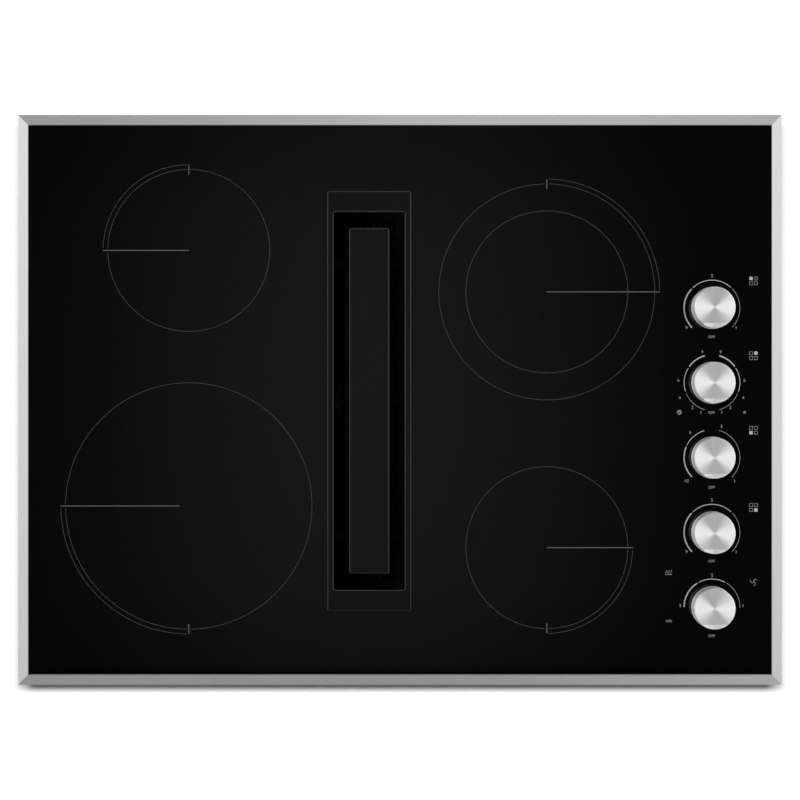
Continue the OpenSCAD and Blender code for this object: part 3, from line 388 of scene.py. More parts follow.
@dataclass(frozen=True)
class BlackEnamel(Finish):
    """Glossy black enamel fired on steel, with a slight orange peel; below a given height it
    turns a dull black that hardly shines, painted shade for the dark recess.

    Attributes:
        uneven: how much rougher than its gloss it gets in patches.
        painted_shade_below: the height below which the enamel turns a dull black that hardly
            shines, as painted shade in the recess, or none.
        edge: half the height over which the two meet.
    """

    colour: Colour = (0.0012, 0.0012, 0.0013)
    gloss: float = 0.05
    uneven: float = 0.03
    painted_shade_below: Optional[float] = None
    edge: float = 0.2

    def paint(self, sheet: NodeSheet) -> None:
        """Draws the enamel, and the dull black painted shade below a height if there is one.

        Args:
            sheet: the emptied tree.
        """
        peel = sheet.noise(cells=350.0)
        patches = sheet.noise(cells=25.0, detail=3.0)
        coated = sheet.shader({
            "Base Color": sheet.shades(patches, self.colour, 1.0, 2.0),
            "Roughness": self.gloss + self.uneven * patches,
            "IOR": GLASS_IOR,
            "Normal": sheet.bump(peel, depth_mm=0.004),
        })
        if self.painted_shade_below is None:
            sheet.finish(coated)
            return
        # Painted shade: below the height, a dull black that hardly shines keeps the recess dark.
        dull = sheet.painted_shade_black(self.colour, 0.9 + 0.1 * patches)
        _, _, z = sheet.split(sheet.place())
        above = z.smooth((self.painted_shade_below - self.edge) * MM, (self.painted_shade_below + self.edge) * MM)
        sheet.finish(sheet.mix(above, dull, coated))


@dataclass(frozen=True)
class BrushedTrim(Finish):
    """Stainless steel brushed along each strip of a mitred frame.

    Attributes:
        uneven: how much rougher the brush lines make it.
        flat: the upward part of the normal above which a face is flat.
        lip_lean: how far the frame's narrow flat lip is rolled outward.
        fine: cells per metre along and across the fine brush lines.
        broad: cells per metre along and across the broad ones.
    """

    node: str = "trim_frame"
    colour: Colour = (0.69, 0.695, 0.70)
    rough: float = 0.18
    uneven: float = 0.10
    flat: float = 0.98
    lip_lean: float = 0.56
    fine: Point = (12.0, 3500.0)
    broad: Point = (4.0, 600.0)

    def paint(self, sheet: NodeSheet) -> None:
        """Draws brush lines that turn at the mitres.

        Args:
            sheet: the emptied tree.
        """
        x, y, z = sheet.split(sheet.place())
        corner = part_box(self.node)[1]
        from_side = corner[0] - x.size()
        from_end = corner[1] - y.size()
        on_side = from_side < from_end
        across = on_side.between(from_end, from_side)
        along = on_side.between(x, y)
        lines, bands = (
            sheet.noise(cells=1.0, detail=detail, vector=sheet.join(
                along * cells[0], across * cells[1], z * cells[1]))
            for cells, detail in ((self.fine, 3.0), (self.broad, 2.0)))
        out_x, out_y, up = sheet.split(sheet.facing())
        lean = (up > self.flat) * self.lip_lean
        rolled = sheet.join(out_x + lean * on_side * x.sign(),
                            out_y + lean * (1 - on_side) * y.sign(), up)
        sheet.surface({
            "Base Color": sheet.shades(0.6 * lines + 0.4 * bands, self.colour, 0.84),
            "Roughness": self.rough + self.uneven * lines,
            "Metallic": 1.0,
            "Normal": sheet.bump(lines, depth_mm=0.006, base=rolled),
        })


@dataclass(frozen=True)
class SpunAluminium(Finish):
    """Turned aluminium whose fine rings run round the knob's axis.

    Attributes:
        reach: the knob's radius.
        uneven: how much rougher the rings make it.
        stretch: how far its highlights are drawn out across the rings.
    """

    reach: float = 22.0
    colour: Colour = (0.95, 0.955, 0.96)
    rough: float = 0.32
    uneven: float = 0.10
    stretch: float = 0.95

    def paint(self, sheet: NodeSheet) -> None:
        """Draws rings from the piece's own middle.

        Args:
            sheet: the emptied tree.
        """
        own = sheet.out(sheet.add("ShaderNodeTexCoord"), "Generated")
        gx, gy, gz = sheet.split(own)
        radius = ((gx - 0.5) ** 2 + (gy - 0.5) ** 2).root() * (2 * self.reach * MM)
        ring = radius + gz * (self.reach * MM)
        fine = sheet.noise(cells=5200.0, along=ring)
        coarse = sheet.noise(cells=900.0, detail=1.0, along=ring)
        sheet.surface({
            "Base Color": sheet.shades(0.6 * fine + 0.4 * coarse, self.colour, 0.9),
            "Roughness": self.rough + self.uneven * fine,
            "Metallic": 1.0,
            "Anisotropic": self.stretch,
            "Anisotropic Rotation": 0.25,
            "Normal": sheet.bump(fine, depth_mm=0.0025),
        })


@dataclass(frozen=True)
class Galvanised(Finish):
    """Zinc-coated sheet with a faint spangle, in crystals per metre, and rolling marks."""

    colour: Colour = (0.56, 0.57, 0.58)
    rough: float = 0.36
    spangle: float = 90.0

    def zinc(self, sheet: NodeSheet) -> Wire:
        """Draws the spangled metal.

        Args:
            sheet: the material's tree.

        Returns:
            The shader.
        """
        crystals = sheet.add("ShaderNodeTexVoronoi", {"feature": "F1"},
                             {"Vector": sheet.place(), "Scale": self.spangle})
        tone, _, _ = sheet.split(sheet.out(crystals, "Color"))
        cloud = sheet.noise(cells=28.0, detail=4.0)
        grain = sheet.noise(cells=1400.0)
        patchy = 0.45 * tone + 0.4 * cloud + 0.15 * grain
        return sheet.shader({
            "Base Color": sheet.shades(patchy, self.colour, 0.72, 1.12),
            "Roughness": self.rough + 0.14 * tone + 0.08 * cloud,
            "Metallic": 1.0,
            "Normal": sheet.bump(0.6 * grain + 0.4 * tone, depth_mm=0.006),
        })

    def paint(self, sheet: NodeSheet) -> None:
        """Draws the sheet."""
        sheet.finish(self.zinc(sheet))


@dataclass(frozen=True)
class PlenumSheetWithPaintedShade(Galvanised):
    """Zinc-coated sheet of a plenum, with a dull black painted shade on its inside.

    Attributes:
        flange: width of the flange round the plenum's top, with the sheet's thickness.
        neck: length of the drain neck under its floor.
        down: the upward part of the normal below which a face is an underside.
    """

    node: str = "plenum"
    flange: float = 12.6
    neck: float = 20.0
    down: float = -0.3
    # Near-black colour of the inside: painted shade, not the sheet's own colour.
    shade_colour: Colour = (0.004,) * 3

    def paint(self, sheet: NodeSheet) -> None:
        """Draws zinc outside, and dull black painted shade on what faces the air.

        Args:
            sheet: the emptied tree.
        """
        low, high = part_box(self.node)
        middle, reach = (low + high) / 2, (high - low) / 2
        inset = self.flange * MM
        x, y, z = sheet.split(sheet.place())
        _, _, up = sheet.split(sheet.facing())
        inside = (((x - middle.x).size() < reach.x - inset)
                  * ((y - middle.y).size() < reach.y - inset)
                  * (z > low.z + self.neck * MM) * (up > self.down))
        # Painted shade: the inside turns dull black.
        black = sheet.painted_shade_black(self.shade_colour, 0.8)
        sheet.finish(sheet.mix(inside, self.zinc(sheet), black))


@dataclass(frozen=True)
class BrightMetal(Finish):
    """Plain bright metal with fine drawing marks and a slight tarnish."""

    colour: Colour = (0.66, 0.67, 0.68)
    rough: float = 0.28
    tarnish: Colour = (0.50, 0.49, 0.46)
    tarnish_share: float = 0.5

    def paint(self, sheet: NodeSheet) -> None:
        """Draws the metal.

        Args:
            sheet: the emptied tree.
        """
        cloud = sheet.noise(cells=60.0, detail=4.0)
        marks = sheet.noise(cells=1500.0)
        sheet.surface({
            "Base Color": sheet.blend(cloud.smooth(0.45, 0.8) * self.tarnish_share, self.colour,
                                      self.tarnish),
            "Roughness": self.rough + 0.12 * marks + 0.08 * cloud,
            "Metallic": 1.0,
            "Normal": sheet.bump(marks, depth_mm=0.004),
        })


@dataclass(frozen=True)
class Moulded(Finish):
    """Moulded plastic, rubber, ceramic or fibre: matt to glossy, with a fine grain.

    Attributes:
        mottle: how much darker its darkest spots are.
        grain: grains per metre.
        depth: the grain's depth.
        glow: how much light passes through its skin.
    """

    colour: Colour = (0.05,) * 3
    rough: float = 0.5
    mottle: float = 0.25
    grain: float = 800.0
    depth: float = 0.01
    glow: float = 0.0

    def paint(self, sheet: NodeSheet) -> None:
        """Draws the material.

        Args:
            sheet: the emptied tree.
        """
        cloud = sheet.noise(cells=45.0, detail=4.0)
        fine = sheet.noise(cells=self.grain, detail=3.0)
        sheet.surface({
            "Base Color": sheet.shades(0.5 * cloud + 0.5 * fine, self.colour, 1 - self.mottle),
            "Roughness": self.rough + 0.12 * fine,
            "Subsurface Weight": self.glow,
            "Normal": sheet.bump(fine, depth_mm=self.depth),
        })


@dataclass(frozen=True)
class PrintedInk(Finish):
    """Fired ceramic ink: a thin matt grey that is a little uneven."""

    colour: Colour = (0.60,) * 3
    rough: float = 0.5
    uneven: float = 0.2

    def paint(self, sheet: NodeSheet) -> None:
        """Draws the ink.

        Args:
            sheet: the emptied tree.
        """
        dots = sheet.noise(cells=2500.0, detail=1.0)
        patches = sheet.noise(cells=70.0)
        sheet.surface({
            "Base Color": sheet.shades(0.5 * dots + 0.5 * patches, self.colour, 0.8),
            "Roughness": self.rough + self.uneven * dots,
            "Normal": sheet.bump(dots, depth_mm=0.002),
        })


GLASS = BlackGlass("black_ceramic_glass")
# Black enamel of the grille; below 6 mm it is a dull black painted shade, so the vent gap stays
# dark.
ENAMEL_WITH_PAINTED_SHADE = BlackEnamel("black_enamel_painted_shade_below", painted_shade_below=6.0)
TRIM = BrushedTrim("brushed_stainless_trim")
KNOB = SpunAluminium("spun_aluminium")
SHEET = Galvanised("galvanised_sheet")
# Painted shade: the vent liner is dull black enamel all over, so the vent gap looks black.
VENT_LINER_PAINTED_SHADE = BlackEnamel("vent_liner_painted_shade", painted_shade_below=100.0)
# The plenum's sheet, with painted shade on its inside.
PLENUM_PAINTED_SHADE = PlenumSheetWithPaintedShade("plenum_sheet_painted_shade")
STEEL = BrightMetal("plated_steel")
SPRING = BrightMetal("spring_steel", colour=(0.42, 0.43, 0.45), rough=0.32)
# Painted shade: the aluminium filter is coloured near black, so it shows dark in the vent gap.
FILTER_PAINTED_SHADE = BrightMetal("filter_aluminium_painted_shade", colour=(0.09,) * 3, rough=0.42,
                     tarnish=(0.06, 0.055, 0.05))
WHEEL = BrightMetal("stamped_wheel_metal", colour=(0.60, 0.61, 0.62), rough=0.36)
RIBBON = BrightMetal("oxidised_ribbon", colour=(0.20, 0.16, 0.13), rough=0.48,
                     tarnish=(0.10, 0.09, 0.11))
FOAM = Moulded("closed_cell_foam", colour=(0.075,) * 3, rough=0.85, grain=1100.0,
               depth=0.12)
SILICONE = Moulded("black_silicone", colour=(0.03,) * 3, rough=0.42)
FIBRE = Moulded("pressed_fibre", colour=(0.78, 0.74, 0.66), rough=0.9, grain=600.0, depth=0.2)
QUARTZ = Moulded("quartz_and_ceramic", colour=(0.82, 0.80, 0.75), rough=0.22, mottle=0.1)
PHENOLIC = Moulded("moulded_phenolic", colour=(0.035, 0.035, 0.04), rough=0.42)
NYLON = Moulded("moulded_nylon", colour=(0.78, 0.74, 0.64), rough=0.4, mottle=0.08, glow=0.1)
LENS = Moulded("red_lamp_plastic", colour=(0.35, 0.012, 0.012), rough=0.12, mottle=0.1,
               depth=0.001)
MOTOR = BlackEnamel("motor_enamel", colour=(0.018, 0.018, 0.020), gloss=0.30)
CAPACITOR = Moulded("capacitor_case", colour=(0.022, 0.022, 0.026), rough=0.24, depth=0.003)
JAR = Moulded("pale_jar_plastic", colour=(0.70, 0.72, 0.74), rough=0.30, mottle=0.06,
              depth=0.006)
CERAMIC = Moulded("white_ceramic", colour=(0.84, 0.82, 0.76), rough=0.26, mottle=0.08)
INK = PrintedInk("fired_grey_ink")
FAINT_INK = PrintedInk("fired_faint_ink", colour=(0.125,) * 3)
FAINTEST_INK = PrintedInk("fired_faintest_ink", colour=(0.062,) * 3)
ENGRAVED = Moulded("engraved_line", colour=(0.12,) * 3, depth=0.002)


def node_box(node: str) -> tuple[Vector, Vector]:
    """The lowest and highest corner of a CAD node, in millimetres."""
    low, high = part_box(node)
    return low / MM, high / MM


def unit(degrees: float) -> Vector:
    """The direction at an angle from +X towards +Y."""
    return Vector((math.cos(math.radians(degrees)), math.sin(math.radians(degrees))))


def put(name: str, data: bpy.types.ID) -> bpy.types.Object:
    """Puts data into the scene.

    Args:
        name: the object's name.
        data: its mesh, curve, lamp or camera.

    Returns:
        The object.
    """
    made = bpy.data.objects.new(name, data)
    bpy.context.scene.collection.objects.link(made)
    return made


def dress(finish: Finish, *nodes: str) -> None:
    """Gives CAD nodes a finish.

    Args:
        finish: the finish.
        nodes: the nodes' names.
    """
    for name in nodes:
        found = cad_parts[name]
        for place in found.material_slots:
            place.material = finish.material()
        if not found.material_slots:
            found.data.materials.append(finish.material())
        log.info("%s: %s", name, finish.name)


GLASS_TOP = node_box("glass_top")[1].z


@dataclass
class Drawing:
    """Closed solids between two heights, drawn in millimetres, which become one piece.

    It is ink on the glass, unless it is placed elsewhere.

    Attributes:
        name: the piece's name.
        low: height of every solid's foot.
        high: height of every solid's top.
        place: where the drawing is put.
        mesh: what is drawn so far.
    """

    name: str
    low: float = GLASS_TOP
    high: float = GLASS_TOP + INK_T
    place: Matrix = Matrix.Identity(4)
    mesh: bmesh.types.BMesh = field(default_factory=bmesh.new)

    def _section(self, inner: Point, outer: Point) -> list[bmesh.types.BMVert]:
        """Adds the four corners of a strip's section.

        Args:
            inner: where one side of the strip runs.
            outer: where its other side runs.

        Returns:
            The corners, in order.
        """
        corners = ((inner, self.low), (outer, self.low), (outer, self.high), (inner, self.high))
        return [self.mesh.verts.new(self.place @ Vector((*at, z))) for at, z in corners]

    def _skin(self, sections: Sequence[Sequence[bmesh.types.BMVert]], whole: bool) -> None:
        """Joins sections into a closed strip.

        Args:
            sections: the corners of each section, in order.
            whole: whether the last section meets the first.
        """
        pairs = list(zip(sections, sections[1:]))
        if whole:
            pairs.append((sections[-1], sections[0]))
        for first, second in pairs:
            for k in range(len(first)):
                n = (k + 1) % len(first)
                self.mesh.faces.new((first[k], first[n], second[n], second[k]))
        if not whole:
            self.mesh.faces.new(sections[0][::-1])
            self.mesh.faces.new(sections[-1])

    def bar(self, start: Point, end: Point, width: float) -> None:
        """Adds a straight strip.

        Args:
            start: one end.
            end: the other end.
            width: its width.
        """
        run = Vector((end[0] - start[0], end[1] - start[1]))
        side = Vector((-run.y, run.x)).normalized() * (width / 2)
        self._skin([self._section((x + side.x, y + side.y), (x - side.x, y - side.y))
                    for x, y in (start, end)], False)

    def arc(self, centre: Point, radius: float, widths: Point, span: Point = FULL_TURN) -> None:
        """Adds a strip along a circle, whose width may change on the way.

        Args:
            centre: the circle's middle.
            radius: the strip's middle line.
            widths: its width at the start and at the end.
            span: where it starts and ends, in degrees from +X towards +Y.
        """
        fewest_steps, step_deg = 4, 3.0
        sweep = span[1] - span[0]
        whole = span == FULL_TURN
        steps = max(fewest_steps, round(abs(sweep) / step_deg))
        sections = []
        for k in range(steps if whole else steps + 1):
            share = k / steps
            across = unit(span[0] + sweep * share)
            half = (widths[0] + (widths[1] - widths[0]) * share) / 2
            sections.append(self._section(*(
                (centre[0] + across.x * r, centre[1] + across.y * r)
                for r in (radius - half, radius + half))))
        self._skin(sections, whole)

    def letters(self, text: str, middle: Point, height: float) -> None:
        """Adds flat printed characters.

        Args:
            text: the characters.
            middle: where their middle lies.
            height: the height of a capital.
        """
        cap_share = 0.70
        thinning = 0.022
        curve = bpy.data.curves.new("letters", "FONT")
        curve.body = text
        curve.size = height / cap_share
        curve.extrude = INK_T / 2
        curve.offset = -thinning * height
        curve.resolution_u = 3
        maker = put("letters", curve)
        bpy.context.view_layer.update()
        shown = maker.evaluated_get(bpy.context.evaluated_depsgraph_get())
        flat = shown.to_mesh()
        points = [v.co for v in flat.vertices]
        centre = [(min(p[i] for p in points) + max(p[i] for p in points)) / 2 for i in (0, 1)]
        flat.transform(Matrix.Translation((middle[0] - centre[0], middle[1] - centre[1],
                                           self.low + INK_T / 2)))
        self.mesh.from_mesh(flat)
        shown.to_mesh_clear()
        bpy.data.objects.remove(maker)
        bpy.data.curves.remove(curve)

    def piece(self, finish: Finish, body: Body = Body.BASE, slot: Slot = Slot.GLASS) -> None:
        """Turns the drawing into a piece that rides on a body.

        Args:
            finish: its finish.
            body: the body that it rides on.
            slot: the record's material slot; not used.
        """
        bmesh.ops.remove_doubles(self.mesh, verts=self.mesh.verts, dist=1e-5)
        bmesh.ops.recalc_face_normals(self.mesh, faces=self.mesh.faces)
        bmesh.ops.scale(self.mesh, vec=(MM, MM, MM), verts=self.mesh.verts)
        data = bpy.data.meshes.new(self.name)
        self.mesh.to_mesh(data)
        self.mesh.free()
        data.materials.append(finish.material())
        made = put(self.name, data)
        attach(made, body.value)
        log.info("%s: %d faces, rides on %s", self.name, len(data.polygons), body.value)


@dataclass(frozen=True)
class Steps:
    """A level that changes in smooth steps.

    Attributes:
        base: the level before the first step.
        changes: each step's change of level, and where it starts and ends.
    """

    base: float
    changes: Sequence[tuple[float, float, float]]

    def along(self, value: Wire) -> Wire:
        """The level at a value that the steps are laid out along."""
        return sum((change * value.smooth(start, end) for change, start, end in self.changes),
                   self.base)


@dataclass(frozen=True)
class Sky:
    """How bright the studio is in each direction.

    A direction has three parts from -1 to 1. Its lean, from 0 to 1, is how far it points away
    from straight up. Each pair is a stretch over which something sets in.

    Attributes:
        dim: level of the ceiling.
        spot_at: middle of the soft spot on it.
        spot_squeeze: weight of Y in the distance from the spot.
        spot_fade: distances over which the spot fades.
        spot_gain: what it adds.
        ceiling_ends: share of the ceiling's level, by distance along Y.
        ceiling_front: where the ceiling starts, along Y.
        wall_top: leans at which the walls start.
        wall_foot: leans at which their feet start.
        side_turn: where the side walls take over from the end walls.
        rear_turn: where the rear wall takes over from the front wall, along Y.
        side_high: level of the side walls' upper parts.
        side_low: level of their feet, along Y.
        front: level of the front wall, along X.
        rear: level of the rear wall, along X.
        end_high: share of the end walls' level in their upper parts.
        box_near: leans at which a soft box in the front wall starts.
        box_far: leans at which it ends.
        box_side: where it ends at both sides, along X.
        box_gain: what it adds.
        horizon: where the light from below takes over, downward.
        under: level of that light.
    """

    dim: float = 0.03
    spot_at: Point = (-0.012, 0.006)
    spot_squeeze: float = 0.3
    spot_fade: Point = (0.01, 0.135)
    spot_gain: float = 0.168
    ceiling_ends: Steps = Steps(1.0, ((-0.25, 0.06, 0.095),))
    ceiling_front: Point = (-0.0965, -0.0925)
    wall_top: Point = (0.155, 0.27)
    wall_foot: Point = (0.58, 0.84)
    side_turn: Point = (0.24, 0.86)
    rear_turn: Point = (-0.3, 0.3)
    side_high: float = 1.5
    side_low: Steps = Steps(0.745, ((0.38, -0.13, 0.06),))
    front: Steps = Steps(0.385, ((-0.04, -0.11, -0.08), (0.28, 0.065, 0.125)))
    rear: Steps = Steps(0.45, ((0.45, -0.06, 0.0), (-0.27, 0.05, 0.08)))
    end_high: float = 0.66
    box_near: Point = (0.58, 0.64)
    box_far: Point = (0.72, 0.78)
    box_side: Point = (0.2, 0.4)
    box_gain: float = 2.0
    horizon: Point = (-0.02, 0.02)
    under: float = 0.6

    def level(self, sheet: NodeSheet) -> Wire:
        """Draws the level in the direction that is looked in.

        Args:
            sheet: the world's tree.

        Returns:
            The level.
        """
        x, y, z = sheet.split(sheet.out(sheet.add("ShaderNodeTexCoord"), "Generated"))
        lean = (x * x + y * y).root()
        spot = ((x - self.spot_at[0]) ** 2
                + self.spot_squeeze * (y - self.spot_at[1]) ** 2).root()
        overhead = self.dim + self.spot_gain * (1 - spot.smooth(*self.spot_fade))
        overhead = overhead * self.ceiling_ends.along(y.size()) * y.smooth(*self.ceiling_front)
        foot = lean.smooth(*self.wall_foot)
        sides = foot.between(self.side_high, self.side_low.along(y))
        box = lean.smooth(*self.box_near) * (1 - lean.smooth(*self.box_far))
        front = self.front.along(x) + self.box_gain * box * (1 - x.size().smooth(*self.box_side))
        ends = y.smooth(*self.rear_turn).between(front, self.rear.along(x))
        ends = ends * foot.between(self.end_high, 1.0)
        sideways = ((x * x) / (lean * lean + 1e-4)).smooth(*self.side_turn)
        walls = sideways.between(ends, sides)
        above = lean.smooth(*self.wall_top).between(overhead, walls)
        return (0 - z).smooth(*self.horizon).between(above, self.under)


@dataclass
class Studio:
    """Camera, pale floor, lamp and sky."""

    camera_rise: float = 2900.0
    camera_back_m: float = 0.0002
    camera_clip_m: float = 50.0
    picture_span: float = 820.0
    sensor: float = 36.0
    floor_reach_m: float = 14.0
    floor_tone: float = 0.18
    floor_level: float = 1.1
    lamp_rise_m: float = 3.10
    lamp_back_m: float = 0.068
    lamp_size_m: Point = (0.219, 0.070)
    lamp_power: float = 760.0
    brightness: Sky = Sky()

    def camera(self) -> None:
        """Looks straight down on the middle of the glass."""
        data = bpy.data.cameras.new("camera")
        data.sensor_width = self.sensor
        data.lens = self.sensor * self.camera_rise / self.picture_span
        data.clip_end = self.camera_clip_m
        seen = put("camera", data)
        seen.location = (0.0, -self.camera_back_m, (GLASS_TOP + self.camera_rise) * MM)
        bpy.context.scene.camera = seen

    def floor(self, lowest_m: float) -> bpy.types.Object:
        """Lays a pale floor under the object, which stays pale far from the lamp.

        Args:
            lowest_m: height of the object's lowest point, in metres.

        Returns:
            The floor.
        """
        r = self.floor_reach_m
        data = bpy.data.meshes.new("floor")
        data.from_pydata([(x, y, lowest_m) for x, y in ((-r, -r), (r, -r), (r, r), (-r, r))],
                         [], [(0, 1, 2, 3)])
        made = put("floor", data)
        made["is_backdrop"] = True
        made.visible_diffuse = False
        made.visible_shadow = False
        paint = bpy.data.materials.new("pale_floor")
        paint.use_nodes = True
        sheet = NodeSheet(paint.node_tree)
        x, y, _ = sheet.split(sheet.place())
        spread = (x * x + y * y) / (self.lamp_rise_m - lowest_m) ** 2 + 1
        missing = (1 - self.floor_level / (spread * spread)).math("MAXIMUM", 0.0)
        pale = sheet.shader({
            "Base Color": (self.floor_tone,) * 3, "Roughness": 1.0, "Specular IOR Level": 0.0,
            "Emission Color": sheet.join(missing, missing, missing),
            "Emission Strength": 1.0})
        clear = sheet.out(sheet.add("ShaderNodeBsdfTransparent"), "BSDF")
        back = sheet.out(sheet.add("ShaderNodeNewGeometry"), "Backfacing")
        sheet.finish(sheet.mix(back, pale, clear))
        data.materials.append(paint)
        return made

    def floor_lamp(self, floor: bpy.types.Object) -> None:
        """Lights the floor alone from over the camera, so that the shadow peeps out in front.

        Args:
            floor: the floor.
        """
        data = bpy.data.lights.new("floor_lamp", "AREA")
        data.shape = "ELLIPSE"
        data.size, data.size_y = self.lamp_size_m
        data.energy = self.lamp_power
        lamp = put("floor_lamp", data)
        lamp.location = (0.0, self.lamp_back_m, GLASS_TOP * MM + self.lamp_rise_m)
        lamp.visible_camera = False
        lamp.visible_glossy = False
        lamp.visible_transmission = False
        lit = bpy.data.collections.new("lit_by_floor_lamp")
        lit.objects.link(floor)
        lamp.light_linking.receiver_collection = lit

    def sky(self) -> None:
        """Hangs the sky round the object, with plain white for the camera."""
        world = bpy.data.worlds.new("studio")
        world.use_nodes = True
        bpy.context.scene.world = world
        sheet = NodeSheet(world.node_tree)
        rays = sheet.add("ShaderNodeLightPath")
        seen = sheet.math("MAXIMUM", sheet.out(rays, "Is Camera Ray"),
                          sheet.out(rays, "Is Transmission Ray"))
        glow = sheet.add("ShaderNodeBackground", sockets={
            "Color": (1.0,) * 3,
            "Strength": seen.between(self.brightness.level(sheet), 1.0)})
        sheet.add("ShaderNodeOutputWorld", sockets={"Surface": sheet.out(glow, "Background")})

    def build(self, lowest_m: float) -> None:
        """Sets up the studio.

        Args:
            lowest_m: height of the object's lowest point, in metres.
        """
        self.camera()
        self.floor_lamp(self.floor(lowest_m))
        self.sky()
        bpy.context.scene.view_settings.view_transform = "Standard"
        log.info("studio is set, floor at %.4f m", lowest_m)


@dataclass(frozen=True)
class Zone:
    """The printing round one heating zone.

    Attributes:
        middle: the zone's middle.
        rings: the radii of its circles.
        arc_radius: the radius of the outer quarter arc.
        tick_deg: the direction of the tick.
        line_deg: the direction of the radial line.
        line_start: where the line starts, from the middle.
        broken: whether the circle stops short of the line.
    """

    middle: Point
    rings: tuple[float, ...]
    arc_radius: float
    tick_deg: float
    line_deg: float
    line_start: float = 0.0
    broken: bool = False


@dataclass
class GlassTop:
    """The glass, its trim and the printing round the heating zones."""

    thin: float = 0.43
    bold: float = 0.87
    break_gap: float = 2.2
    tick_reach: float = 10.2
    zones: tuple[Zone, ...] = (
        Zone((-216.5, 153.1), (83.0,), 87.9, 90.0, 180.0, broken=True),
        Zone((-216.5, -108.8), (126.3,), 131.2, 270.0, 180.0, 9.6, True),
        Zone((150.5, 110.6), (110.7, 83.0), 115.6, 90.0, 0.0),
        Zone((150.5, -151.5), (83.0,), 87.9, 270.0, 0.0),
    )

    def build(self) -> None:
        """Dresses the glass and prints the zones."""
        dress(GLASS, "glass_top")
        dress(TRIM, "trim_frame")
        dress(FOAM, "counter_seal")
        dress(SILICONE, "glass_bond", "vent_gasket")
        circles = Drawing("zone_circles")
        lines = Drawing("zone_lines")
        for zone in self.zones:
            self._circles(circles, zone)
            self._lines(lines, zone)
        circles.piece(FAINTEST_INK)
        lines.piece(FAINT_INK)

    def _circles(self, drawing: Drawing, zone: Zone) -> None:
        """Draws one zone's circles and its quarter arc, with their breaks.

        Args:
            drawing: the drawing to add to.
            zone: the zone.
        """
        widths = (self.thin, self.thin)
        for radius in zone.rings:
            breaks = [zone.tick_deg] if radius == zone.rings[0] else []
            if zone.broken:
                breaks.append(zone.line_deg)
            if not breaks:
                drawing.arc(zone.middle, radius, widths)
                continue
            breaks.sort()
            gap = math.degrees(self.break_gap / radius)
            for start, end in zip(breaks, breaks[1:] + [breaks[0] + FULL_TURN[1]]):
                drawing.arc(zone.middle, radius, widths, (start + gap, end - gap))
        quarter = 90.0 if math.sin(math.radians(zone.line_deg - zone.tick_deg)) > 0 else -90.0
        start, end = sorted((zone.tick_deg, zone.tick_deg + quarter))
        gap = math.degrees(self.break_gap / zone.arc_radius)
        drawing.arc(zone.middle, zone.arc_radius, widths, (start + gap, end - gap))

    def _lines(self, drawing: Drawing, zone: Zone) -> None:
        """Draws one zone's radial line and its tick.

        Args:
            drawing: the drawing to add to.
            zone: the zone.
        """
        middle, outer = Vector(zone.middle), zone.arc_radius
        along, up = unit(zone.line_deg), unit(zone.tick_deg)
        drawing.bar(middle + along * zone.line_start,
                    middle + along * (outer + self.thin / 2), self.bold)
        drawing.bar(middle + up * (outer - self.tick_reach), middle + up * outer, self.bold)


